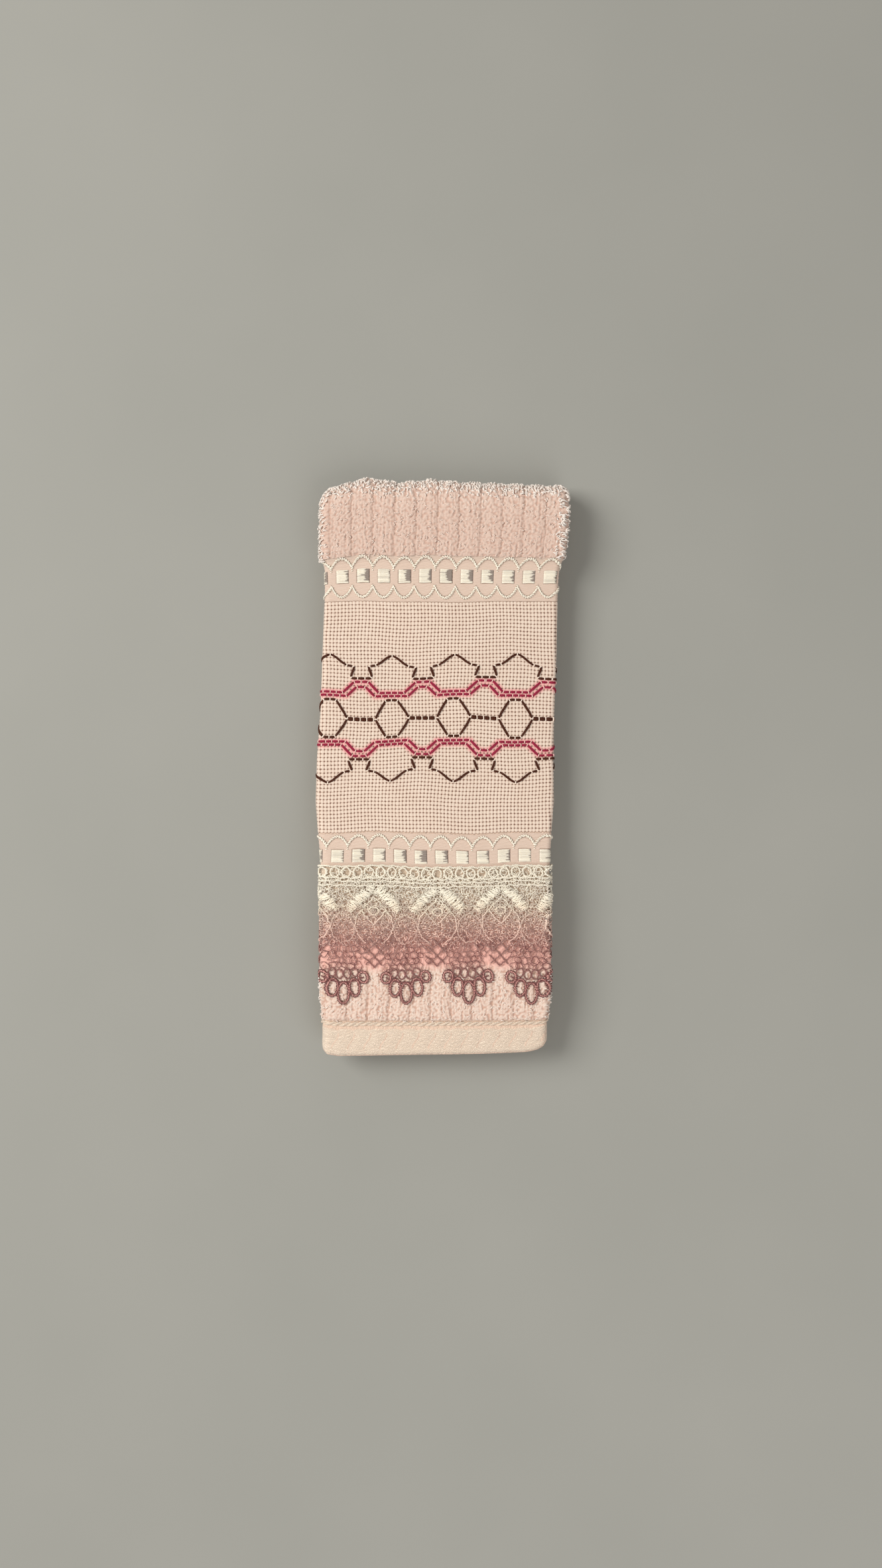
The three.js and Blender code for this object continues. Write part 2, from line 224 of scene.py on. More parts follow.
plain_floor()
bpy.context.scene.view_settings.view_transform = "Standard"
soft_light("window_light", (-1.1, 0.42, 1.15), 0.9, 22.0, "#fffcf6")
soft_light("room_light", (0.45, -0.75, 0.85), 0.9, 4.6, "#fffcf8")
world = bpy.data.worlds.new("surround")
world.use_nodes = True
background = world.node_tree.nodes["Background"]
background.inputs["Color"].default_value = linear("#f4efe8")
background.inputs["Strength"].default_value = 0.42
bpy.context.scene.world = world

# %% [markdown]
# The fold. Flat cloth is measured by s, across from the middle of the front panel, by t, along from
# the front hem, and by how far a point stands out on the cloth's right side. Short tables say how
# thick the cloth is along t and where its folded outline runs. A moving average rounds the corners
# of those tables, because cloth has none.

# %% Sizes of the fold, in millimetres
CLOTH_LENGTH = 500.0
CLOTH_LEFT = -148.0
CLOTH_RIGHT = 144.0
TERRY = 2.5
LAYER_GAP = 0.4
RIGHT_FLAP_SHORT = 7.0
LEFT_FLAP_SHORT = 4.0
TURN_START = 240.9
TURN_RADIUS = 9.2
TURN_LENGTH = 24.0
TURN_END = TURN_START + TURN_LENGTH
BACK_HEIGHT = 3 * TERRY + 2 * LAYER_GAP
TURN_OPENING = 2 * (TURN_RADIUS - BACK_HEIGHT)
BACK_INSET = 1.5
LACE_THICK = 0.9
LACE_GAP = 0.4
LACE_ROOM = LACE_GAP + LACE_THICK + LAYER_GAP
CROWN = 0.8
WAVE = 0.25
WAVE_LENGTH = (64.0, 82.0)
HALF_WIDTH = 52.0
TOP_EDGE_FADE = 46.0
HEM_EDGE_FADE = 20.0

WEAVE = {
    "t": [0, 1.2, 11.5, 13.8, 16.8, 20, 86, 95, 110, 196, 206, 214, 218.5, TURN_START, 485, 500],
    "thick": [1.6, 2.2, 2.2, 1.7, 2.2, 2, 2, 1.6, 1.4, 1.4, 1.5, 1.8, TERRY, TERRY, TERRY, 2.2],
    "flap_gap": [.4, .4, .5, .9, 1.3, LACE_ROOM, LACE_ROOM, 1, .4, .4, .4, .4, .4, .4, .4, .7],
    "back_gap": [.8, .6, .7, 1, 1.4, LACE_ROOM, LACE_ROOM, 1.1, .6, .6, .8, 1, 1.2, TURN_OPENING, 1, 1],
    "covered": [0, 0, 0, .3, .6, 1, 1, .4, 0, 0, 0, 0, 0, 0, 0, 0],
}
OUTLINE = {
    "y": [0, 13.1, 18.8, 27.4, 35.9, 55.8, 84.3, 98.6, 110, 129.9, 147, 169.8, 198.3, 212.5, 218.5,
          232.5, 251],
    "left": [-49.9, -50, -50.9, -51.9, -51.9, -51.6, -51.9, -52.4, -52.9, -52.3, -51, -50.1, -49, -48.9,
             -50.4, -50.4, -50.2],
    "right": [47.6, 47.7, 49, 50.1, 50.4, 50, 50.1, 50.1, 50.8, 50.6, 50.9, 51.8, 52.4, 53, 55.4,
              56.6, 56.6],
    "middle": [-.6, -.5, -.4, -.4, -.4, -.3, -.2, -.1, .1, .4, .8, 1.3, 1.5, 1.7, 2.4, 3, 3.2],
    "stretch": [1, 1, 1, 1, 1, 1, 1.005, 1.005, 1, 1, 1, .996, .995, 1, 1.02, 1.035, 1.035],
}
TOP_EDGE = {
    "x": [-54, -52, -49, -45, -38.7, -33, -28, -17, -3, 12, 29, 45, 53, 58],
    "rise": [-8, -5.8, -4.5, -3.4, -2, .1, .2, -1.7, -.3, -1.5, -2.3, -2.9, -2.9, -3.4],
}
HEM_EDGE = {
    "x": [-50, -48, -43, 20, 38, 43, 46, 48],
    "rise": [3.4, .8, 0, 1.1, 1.7, 2.6, 4.2, 7.5],
}


# %% Tables as smooth curves
def curve(at, values, soften):
    """Straight lines through a table's rows, then a moving average that is soften mm wide."""
    step = 0.25
    fine = np.arange(at[0] - soften, at[-1] + soften, step)
    weights = np.hanning(int(soften / step) + 3)
    weights = weights[: len(weights) - (len(weights) + 1) % 2]
    half = len(weights) // 2
    line = np.pad(np.interp(fine, at, values), half, mode="edge")
    line = np.convolve(line, weights / weights.sum(), mode="valid")
    return lambda where: np.interp(where, fine, line)


thickness, flap_gap, back_gap, covered = [
    curve(WEAVE["t"], WEAVE[row], 2.5) for row in ("thick", "flap_gap", "back_gap", "covered")]
left_edge, right_edge = [curve(OUTLINE["y"], OUTLINE[row], 6) for row in ("left", "right")]
middle_line, pulled_out = [curve(OUTLINE["y"], OUTLINE[row], 12) for row in ("middle", "stretch")]
top_rise = curve(TOP_EDGE["x"], TOP_EDGE["rise"], 4)
hem_rise = curve(HEM_EDGE["x"], HEM_EDGE["rise"], 2)


def smooth_step(x, low, high):
    """0 below low, 1 above high, and 3f2 - 2f3 between."""
    f = np.clip((x - low) / (high - low), 0, 1)
    return f * f * (3 - 2 * f)


# %% The folded cross section
def cross_section(t):
    """Layer depths and the two fold lines at t. The right flap lies one layer behind the front
    panel and the left flap two, so each side fold is half a circle as wide as that depth."""
    turn = np.clip((t - TURN_START) / TURN_LENGTH, 0, 1)
    beyond = TURN_START - (t - TURN_END)
    y = np.where(t <= TURN_END, np.minimum(t, TURN_START) + TURN_RADIUS * np.sin(np.pi * turn), beyond)
    thick = thickness(t)
    right_depth = thick + LAYER_GAP
    left_depth = right_depth + thick + flap_gap(t)
    inset = BACK_INSET * turn + (LACE_GAP + LACE_THICK) * covered(t)
    panel_left = left_edge(y) + inset + (left_depth + thick) / 2
    panel_right = right_edge(y) - inset - (right_depth + thick) / 2
    middle = middle_line(y)
    stretch = pulled_out(y)
    left_fold = (panel_left - middle) / stretch
    right_fold = (panel_right - middle) / stretch
    return {
        "angle": np.pi * turn, "thick": thick, "right_depth": right_depth, "left_depth": left_depth,
        "panel_left": panel_left, "panel_right": panel_right, "middle": middle, "stretch": stretch,
        "left_fold": left_fold, "right_fold": right_fold,
        "left_flap": left_fold - np.pi * left_depth / 2,
        "right_flap": right_fold + np.pi * right_depth / 2,
        "left_flap_end": panel_right + (right_depth + thick) / 2 - LEFT_FLAP_SHORT,
        "right_flap_end": panel_left - (left_depth + thick) / 2 + RIGHT_FLAP_SHORT,
    }


def in_section(s, cut):
    """x, depth behind the front panel, and the direction of the right side, for each s: straight
    along the panel and the flaps, and radius times sine and cosine round the side folds."""
    right_radius = cut["right_depth"] / 2
    left_radius = cut["left_depth"] / 2
    right_turn = np.clip((s - cut["right_fold"]) / right_radius, 0, np.pi)
    left_turn = np.clip((cut["left_fold"] - s) / left_radius, 0, np.pi)
    right_share = (s - cut["right_flap"]) / (CLOTH_RIGHT - cut["right_flap"])
    left_share = (s - cut["left_flap"]) / (CLOTH_LEFT - cut["left_flap"])
    where = [s > cut["right_flap"], s > cut["right_fold"], s >= cut["left_fold"], s >= cut["left_flap"]]
    x = np.select(where, [
        cut["panel_right"] + right_share * (cut["right_flap_end"] - cut["panel_right"]),
        cut["panel_right"] + right_radius * np.sin(right_turn),
        cut["middle"] + s * cut["stretch"],
        cut["panel_left"] - left_radius * np.sin(left_turn),
    ], cut["panel_left"] + left_share * (cut["left_flap_end"] - cut["panel_left"]))
    turned = np.where(s > 0, right_turn, left_turn)
    radius = np.where(s > 0, right_radius, left_radius)
    depth = radius * (1 - np.cos(turned))
    return x, depth, np.sign(s) * np.sin(turned), -np.cos(turned)


def swell(x, y):
    """The gentle rise of the front half: a crown across it and slow slanting waves."""
    across = np.clip(x / HALF_WIDTH, -1, 1)
    waves = 1 + np.sin(2 * np.pi * (x / WAVE_LENGTH[0] + y / WAVE_LENGTH[1]))
    return (CROWN + WAVE * waves) * (1 - across * across)


def fold_raw(s, t, out):
    """Flat cloth to folded cloth, in mm: straight over the front half, round the half turn at the
    top, and back underneath, with the uneven outline of the top fold and the hem added last."""
    cut = cross_section(t)
    x, depth, out_x, out_depth = in_section(s, cut)
    x = x + out * out_x
    depth = depth + out * out_depth
    panel = BACK_HEIGHT + back_gap(t) + cut["left_depth"] + cut["thick"] / 2
    front_z = panel - depth + swell(x, t) * smooth_step(TURN_START - t, 0, TOP_EDGE_FADE)
    radius = TURN_RADIUS - cut["thick"] / 2 - depth
    turning = (t > TURN_START) & (t < TURN_END)
    y = np.select([t <= TURN_START, turning], [t, TURN_START + radius * np.sin(cut["angle"])],
                  TURN_START - (t - TURN_END))
    z = np.select([t <= TURN_START, turning], [front_z, TURN_RADIUS + radius * np.cos(cut["angle"])],
                  cut["thick"] / 2 + depth)
    near_top = smooth_step(y, TURN_START - TOP_EDGE_FADE, TURN_START)
    near_hem = 1 - smooth_step(y, 0, HEM_EDGE_FADE)
    y = y + top_rise(x) * near_top + hem_rise(x) * near_hem
    return np.stack([x, y, z], axis=-1)


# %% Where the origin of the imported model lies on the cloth
RIM_POINTS = 1001
rim_t = np.linspace(0, CLOTH_LENGTH, RIM_POINTS)
rim = cross_section(rim_t)
turn_t = np.full(RIM_POINTS, TURN_START + TURN_LENGTH / 2)
level = np.zeros(RIM_POINTS)
rim_points = np.concatenate([
    fold_raw(rim["left_fold"] - np.pi * rim["left_depth"] / 4, rim_t, rim["thick"] / 2),
    fold_raw(rim["right_fold"] + np.pi * rim["right_depth"] / 4, rim_t, rim["thick"] / 2),
    fold_raw(np.linspace(-40, 40, RIM_POINTS), turn_t, level + TERRY / 2),
    fold_raw(np.linspace(-44, 44, RIM_POINTS), level, level),
])
towel_low, towel_high = [np.array(corner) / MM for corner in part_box("towel_cloth")]
ORIGIN = (rim_points.min(0) + rim_points.max(0)) / 2 - (towel_low + towel_high) / 2
ORIGIN[2] = 0
print("origin on the cloth, mm", ORIGIN.round(2), "folded", (rim_points.max(0) - rim_points.min(0)).round(1))


def drift(s, t):
    """Woven rows are never quite straight after washing: slow waves of half a millimetre, which
    fade out at the hem and where the cloth turns."""
    inner = smooth_step(t, 10, 40) * (1 - smooth_step(t, 185, 212))
    ds = 0.3 * np.sin(2 * np.pi * (t / 58 + s / 140)) + 0.15 * np.sin(2 * np.pi * t / 23)
    dt = 0.45 * np.sin(2 * np.pi * (s / 74 - t / 120) + 2.4) + 0.18 * np.sin(2 * np.pi * (s / 29 + t / 80))
    return s + inner * ds, t + inner * dt


def fold(s, t, out):
    """The folded place in metres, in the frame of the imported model. Nothing sinks into the floor."""
    place = fold_raw(*drift(s, t), out) - ORIGIN
    place[..., 2] = np.maximum(place[..., 2], 0)
    return place * MM


def right_face(t):
    """Height of the cloth's right face above the middle of the cloth."""
    return thickness(t) / 2


# %% [markdown]
# Two helpers make all the meshes. One takes points on the flat cloth with their faces, folds them
# and keeps the flat place as a UV map in millimetres, so that every pattern follows the cloth. The
# other sweeps a small polygon along many short paths at once, for yarn, thread and cord.

# %% Meshes from flat cloth
def cloth_piece(name, flat, faces, material, attributes=None):
    """flat holds s, t and height above the right face for each point; faces is a list of arrays."""
    s, t, height = flat[:, 0], flat[:, 1], flat[:, 2]
    mesh = bpy.data.meshes.new(name)
    every_face = [row for block in faces for row in block.tolist()]
    mesh.from_pydata(fold(s, t, right_face(t) + height), [], every_face)
    corners = np.empty(len(mesh.loops), dtype=np.int32)
    mesh.loops.foreach_get("vertex_index", corners)
    uv = mesh.uv_layers.new(name="cloth_mm")
    uv.data.foreach_set("uv", flat[corners, :2].astype(np.float32).ravel())
    for key, values in (attributes or {}).items():
        mesh.attributes.new(key, "FLOAT", "POINT").data.foreach_set("value", values.astype(np.float32))
    mesh.polygons.foreach_set("use_smooth", np.ones(len(mesh.polygons), dtype=bool))
    mesh.materials.append(material)
    mesh.update()
    piece = bpy.data.objects.new(name, mesh)
    bpy.context.scene.collection.objects.link(piece)
    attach(piece, "root")
    triangles = sum(len(block) * (block.shape[1] - 2) for block in faces)
    print(name, "triangles", triangles)
    return piece


def grid_faces(rows, columns):
    """Quads of a grid of points that is stored row by row, facing the cloth's right side."""
    corner = np.arange(rows * columns).reshape(rows, columns)
    quads = [corner[:-1, :-1], corner[:-1, 1:], corner[1:, 1:], corner[1:, :-1]]
    return np.stack(quads, axis=-1).reshape(-1, 4)


def skin(name, s, t, height, material, attributes=None):
    """One surface over the right side of the cloth, from grids of s, t and height."""
    flat = np.stack([s, t, height], axis=-1).reshape(-1, 3)
    values = {key: value.ravel() for key, value in (attributes or {}).items()}
    return cloth_piece(name, flat, [grid_faces(*s.shape)], material, values)


# %% Yarn, thread and cord
def unit(vectors):
    """The same directions, each with length 1."""
    return vectors / np.maximum(np.linalg.norm(vectors, axis=-1, keepdims=True), 1e-9)


def sweep(paths, radius, sides, upright=None, closed=False):
    """Tubes along paths, an array of (path, point, 3) in flat millimetres. Each point carries a
    polygon: centre + radius (cos a across + sin a lift), where across is at right angles to the
    path and to upright. Open tubes get a flat cap at both ends."""
    if closed:
        ahead = np.roll(paths, -1, axis=1) - np.roll(paths, 1, axis=1)
    else:
        ahead = np.gradient(paths, axis=1)
    ahead = unit(ahead)
    upright = np.array([0.0, 0.0, 1.0]) if upright is None else upright[:, None, :]
    across = unit(np.cross(ahead, np.broadcast_to(upright, ahead.shape)))
    lift = np.cross(across, ahead)
    a = 2 * np.pi * np.arange(sides) / sides
    radius = np.broadcast_to(radius, paths.shape[:2])[:, :, None, None]
    ring = np.cos(a)[:, None] * across[:, :, None] + np.sin(a)[:, None] * lift[:, :, None]
    points = paths[:, :, None] + radius * ring
    count, length = paths.shape[:2]
    index = np.arange(count * length * sides).reshape(count, length, sides)
    here, there = (index, np.roll(index, -1, axis=1)) if closed else (index[:, :-1], index[:, 1:])
    turned_here, turned_there = np.roll(here, -1, axis=2), np.roll(there, -1, axis=2)
    faces = [np.stack([here, there, turned_there, turned_here], axis=-1).reshape(-1, 4)]
    if not closed:
        faces += [index[:, 0], index[:, -1, ::-1]]
    return points.reshape(-1, 3), faces


def join(parts):
    """Several (points, faces) into one, with the face numbers moved on."""
    points, faces, first = [], [], 0
    for part_points, part_faces in parts:
        points.append(part_points)
        faces += [block + first for block in part_faces]
        first += len(part_points)
    return np.concatenate(points), faces


def flat_grid(s_at, t_at):
    """Every pair of a place from s_at and one from t_at, row by row."""
    return [grid.ravel() for grid in np.meshgrid(s_at, t_at)]


def evenly(path, step, closed=False):
    """The same path with points at equal distances, about one for each step."""
    if closed:
        path = np.concatenate([path, path[:1]])
    run = np.concatenate([[0], np.cumsum(np.linalg.norm(np.diff(path, axis=0), axis=1))])
    count = max(3, int(round(run[-1] / step)))
    at = np.linspace(0, run[-1], count, endpoint=not closed)
    return np.stack([np.interp(at, run, path[:, k]) for k in range(3)], axis=-1), run[-1]


def plait(path, width, lay, step, strands=2, sides=3, closed=False, thread=None, tall=None, crinkle=0.0):
    """Strands that cross one another in a flat band. Strand k swings across by half the width times
    cosine of 2 pi (run / lay + k / strands), and up and down by a share of that times sine, so each
    passes over and then under the next. A width of two threads makes a round twisted cord. Crinkle
    is how far each point strays at random, in mm."""
    path, length = evenly(np.asarray(path, float), step, closed)
    path = path + random.normal(0, 1, path.shape) * [crinkle, crinkle, 0.3 * crinkle]
    thread = width / 4 if thread is None else thread
    swing = width / 2 - thread
    rise = swing if tall is None else tall
    ahead = (np.roll(path, -1, 0) - np.roll(path, 1, 0)) if closed else np.gradient(path, axis=0)
    ahead = unit(ahead)
    across = unit(np.cross(ahead, [0, 0, 1.0]))
    lift = np.cross(across, ahead)
    turns = max(1, round(length / lay)) if closed else length / lay
    phase = 2 * np.pi * turns * np.arange(len(path)) / (len(path) if closed else len(path) - 1)
    laid = []
    for k in range(strands):
        a = (phase + 2 * np.pi * k / strands)[:, None]
        laid.append(path + swing * np.cos(a) * across + rise * np.sin(a) * lift)
    return sweep(np.stack(laid), thread, sides, closed=closed)


# %% [markdown]
# Where the kinds of weave lie along the cloth, and the repeat that they share. Six holes of the even
# weave make one 9 mm repeat of the jacquard bands and of the ribs in the terry; eighteen holes make
# one repeat of the embroidery.

# %% The plan of the cloth, in millimetres
HOLE_PITCH_S = 1.5
HOLE_PITCH_T = 1.638
BAND_REPEAT = 9.0
BAND_PHASE = 6.4
PEAK_T = 173.9
MIRROR_ROW = 16.8
HEM_TOP = 12.4
STITCH_TOP = 15.7
LOWER_BAND = (82.0, 96.6)
EVEN_WEAVE = (96.6, 197.0)
UPPER_BAND = (197.0, 217.2)
ROOT_DEPTH = 0.3
SIDE_REACH = 53.5
SKIN_REACH = (-55.5, 52.5)

# %% [markdown]
# The ground cloth. It is one closed thin sheet with the whole fold, and all the finer pieces stand
# on it. Under the pile it lies a little deeper, so that the loops grow out of it. Its own finish is
# a matt cotton with a fine terry grain, which is what the underside and the hidden flaps show.

# %% Cotton finishes
def cotton_colour(tree, light, dark, mottle_scale):
    """Undyed-looking cotton: two near shades mixed by soft noise, as yarn takes dye unevenly."""
    place = object_place(tree)
    noise = add(tree, "ShaderNodeTexNoise", {"Vector": place, "Scale": mottle_scale, "Detail": 4.0})
    return place, colour_between(tree, noise.outputs[0], dark, light)


def cotton_surface(tree, colour, roughness, normal=None, sheen=0.25):
    """Matt cotton: rough, no clear gloss, and a soft rim of light from its loose fibres."""
    sockets = {"Base Color": colour, "Roughness": roughness, "Sheen Weight": sheen, "Sheen Roughness": 0.6,
               "Specular IOR Level": 0.25}
    if normal is not None:
        sockets["Normal"] = normal
    finish_of(tree, sockets)


def terry_ground():
    """Terry seen from a distance: loop tips about 1.2 mm apart give a pebbled grain, and painted shade
    darkens the colour away from each tip. Where modelled loops stand on it, it takes a warm painted
    shade, a little darker than their yarn, for the shadow between them. Under the lace it goes from
    rose to sand."""
    material, tree = blank_material("cotton_terry_ground")
    place, colour = cotton_colour(tree, "#f3ddcb", "#e8cbb6", 260.0)
    tips = add(tree, "ShaderNodeTexVoronoi", {"Vector": place, "Scale": 1 / (1.2 * MM)}, feature="F1")
    away = tips.outputs["Distance"]
    height = sum_of(tree, "SUBTRACT", noise_of(tree, place, 0.5, 2.0), away)
    # painted shade: the colour darkens with the distance from the nearest loop tip
    shade = colour_between(tree, sum_of(tree, "MULTIPLY", away, 0.5), colour, "#b48d75")
    # painted shade under the modelled loops, a little darker than their yarn
    pile_shade = sum_of(tree, "MULTIPLY", attribute_of(tree, "under_pile"), 0.8)
    shade = colour_between(tree, pile_shade, shade, "#ecd0bc")
    under_lace = colour_between(tree, ramp_of(tree, along_cloth(tree), 48.0, 70.0), "#efb9ad", "#e3cfba")
    shade = colour_between(tree, attribute_of(tree, "under_lace"), shade, under_lace)
    cotton_surface(tree, shade, 0.95, bump_of(tree, height, 0.9, 0.5))
    return material


def terry_yarn():
    """Soft-twist cotton yarn of the loops, fuzzy, with a faint drift between cream and rose. Its colour is
    painted darker towards the roots as shade, and paler at the tips and on the loops of the folds as a
    highlight. Behind the openings of the lace it looks pink, and towards the top fold painted shade
    makes it a little deeper, for the dimmer light there."""
    material, tree = blank_material("cotton_terry_yarn")
    place, colour = cotton_colour(tree, "#f0ddd0", "#e8d1c4", 75.0)
    # root carries painted light: above 0 it darkens the yarn as shade at roots and crevices, below 0 it
    # paints a highlight
    root = attribute_of(tree, "root")
    deep = sum_of(tree, "POWER", sum_of(tree, "MAXIMUM", root, 0.0), 1.2)
    shade = colour_between(tree, deep, colour, "#cfaa99")
    shade = colour_between(tree, ramp_of(tree, root, 0.0, -0.5), shade, "#f6ede6")
    along = along_cloth(tree)
    behind = sum_of(tree, "MULTIPLY", ramp_of(tree, along, 36.5, 40.5), ramp_of(tree, along, 120.0, 110.0))
    shade = colour_between(tree, behind, shade, "#f0bcb0")
    # painted shade: the yarn is darker towards the top fold, where the light is dimmer
    upper = sum_of(tree, "MULTIPLY", ramp_of(tree, along, 150.0, 200.0), ramp_of(tree, along, 252.0, 236.0))
    upper = sum_of(tree, "MULTIPLY", upper, ramp_of(tree, root, -0.5, 0.0))
    upper = sum_of(tree, "MULTIPLY", upper, 0.55)
    shade = colour_between(tree, upper, shade, "#d2b5a7")
    cotton_surface(tree, shade, 0.92, bump_of(tree, noise_of(tree, place, 0.25, 3.0), 0.5, 0.12), 0.3)
    return material


TERRY_GROUND = terry_ground()
TERRY_YARN = terry_yarn()


# %% The ground cloth, one closed sheet
def lace_shadow(t):
    """1 where the dense part of the lace lies over the cloth, fading towards its two edges."""
    return smooth_step(t, 38, 44) * (1 - smooth_step(t, 82, 84))


def ground_cloth():
    """Columns crowd together in the two side folds and rows in the turn at the top. The right face
    lies ROOT_DEPTH under the pile's height on the front half, deeper under the open weave, and at its
    full height underneath."""
    rows = np.unique(np.concatenate([
        [0, 0.6, 1.5], np.linspace(3, 24, 16), np.linspace(24, 82, 20), np.linspace(82, 112, 18),
        np.linspace(112, 194, 22), np.linspace(194, 222, 20), np.linspace(222, TURN_START, 10),
        np.linspace(TURN_START, TURN_END, 22), np.linspace(TURN_END, 480, 24), np.linspace(480, 500, 8)]))
    cut = cross_section(rows)
    spans = [
        (np.full(len(rows), CLOTH_LEFT), cut["left_flap"], 10), (cut["left_flap"], cut["left_fold"], 14),
        (cut["left_fold"], cut["right_fold"], 48), (cut["right_fold"], cut["right_flap"], 12),
        (cut["right_flap"], np.full(len(rows), CLOTH_RIGHT), 10),
    ]
    blocks = [a[:, None] + (b - a)[:, None] * np.arange(n) / n for a, b, n in spans]
    s = np.concatenate(blocks + [np.full((len(rows), 1), CLOTH_RIGHT)], axis=1)
    t = np.broadcast_to(rows[:, None], s.shape)
    under = smooth_step(t, TURN_START + 0.4 * TURN_LENGTH, TURN_END)
    flat_weave = 1 - smooth_step(t, STITCH_TOP - 1, STITCH_TOP + 2)
    open_weave = smooth_step(t, 97.5, 99) * (1 - smooth_step(t, 194, 196))
    top = -ROOT_DEPTH * (1 - np.maximum(under, 0.75 * flat_weave)) - 0.35 * open_weave
    bottom = -2 * right_face(t) + 0.05
    count = s.size
    flat = np.concatenate([
        np.stack([s, t, top], axis=-1).reshape(-1, 3), np.stack([s, t, bottom], axis=-1).reshape(-1, 3)])
    quads = grid_faces(*s.shape)
    index = np.arange(count).reshape(s.shape)
    rim = np.concatenate([index[0, :], index[1:, -1], index[-1, -2::-1], index[-2:0:-1, 0]])
    beside = np.roll(rim, -1)
    walls = np.stack([rim + count, beside + count, beside, rim], axis=-1)
    faces = [quads, quads[:, ::-1] + count, walls]
    shade = {"under_pile": np.tile(1 - under.ravel(), 2), "under_lace": np.tile(lace_shadow(t).ravel(), 2)}
    return cloth_piece("ground_cloth", flat, faces, TERRY_GROUND, shade)


towel = ground_cloth()
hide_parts("towel_cloth")

# %% [markdown]
# Terry. Real terry is a plain ground with a slack second warp that stands up in loops of about a
# millimetre. Pressed close together the loops look like short fat curls, so the body of the pile is
# a relief surface of such curls. Free arches of yarn stand on it, few on its face and many along
# the folds, where single loops are seen. The pile parts in narrow lines, which make the ribs.

# %% Ribs and curls of the pile
CREVICES = [0.0, 4.9, 6.7, 8.2]
CURL_STEP = (1.25, 1.15)
CURL_TALL = 0.58
CURL_KINDS = 701
PILE_GRID = 0.37


def rib_height(s):
    """Height of the pile across one repeat: a low smooth strip, then taller curls towards its end."""
    across = (s - BAND_PHASE) % BAND_REPEAT
    return 0.25 * smooth_step(across, 2.4, 5.0) * (1 - smooth_step(across, 8.6, 9.0))


def crevice(s, t):
    """1 on the lines along the cloth where the rows of loops part, 0 beside them. They waver."""
    across = (s - BAND_PHASE + 0.25 * np.sin(t * 0.55 + s * 0.1)) % BAND_REPEAT
    depth = [0.9 - 0.5 * (line > 0) for line in CREVICES] + [0.9]
    lines = CREVICES + [BAND_REPEAT]
    return np.max([d * np.exp(-((across - line) / 0.3) ** 2) for line, d in zip(lines, depth)], axis=0)


def curled_pile(s, t):
    """Relief from short fat curls. Each cell of a lattice holds one curl, moved and turned at random.
    The distance to a curl is the root of (along / 1.7) squared plus across squared, and the surface
    is a dome over the nearest one: 1 minus that distance squared over 0.4. The cell in column c and
    row r takes curl number 131 c + 337 r, counted round CURL_KINDS of them."""
    cell_s, cell_t = np.floor(s / CURL_STEP[0]).astype(int), np.floor(t / CURL_STEP[1]).astype(int)
    shift_s, shift_t = random.uniform(0.1, 0.9, CURL_KINDS), random.uniform(0.1, 0.9, CURL_KINDS)
    angle = random.uniform(0, np.pi, CURL_KINDS)
    nearest = np.full(s.shape, 9.0)
    for ds in (-1, 0, 1):
        for dt in (-1, 0, 1):
            who = ((cell_s + ds) * 131 + (cell_t + dt) * 337) % CURL_KINDS
            off_s = s - (cell_s + ds + shift_s[who]) * CURL_STEP[0]
            off_t = t - (cell_t + dt + shift_t[who]) * CURL_STEP[1]
            along = off_s * np.cos(angle[who]) + off_t * np.sin(angle[who])
            across = off_t * np.cos(angle[who]) - off_s * np.sin(angle[who])
            nearest = np.minimum(nearest, (along / 1.7) ** 2 + across ** 2)
    return np.clip(1 - nearest / 0.4, 0, 1)


def terry_pile(name, s_range, t_range, flatter=None):
    """The body of the pile: curls on the ribs, lowered in the crevices, with painted shade between them."""
    s, t = np.meshgrid(np.arange(*s_range, PILE_GRID), np.arange(*t_range, PILE_GRID))
    dome = curled_pile(s, t)
    parting = crevice(s, t)
    height = -0.12 + rib_height(s) + CURL_TALL * dome ** 0.8 - 0.45 * parting
    if flatter is not None:
        height = height - flatter(t)
    # painted shade: root darkens the pile between the curls and in the crevices
    root = np.clip(1 - dome + 0.7 * parting, 0, 1)
    return skin(name, s, t, height, TERRY_YARN, {"root": root})


# %% Free loops
LOOP_STEP = (1.2, 1.15)
YARN_RADIUS = 0.3
YARN_SIDES = 4


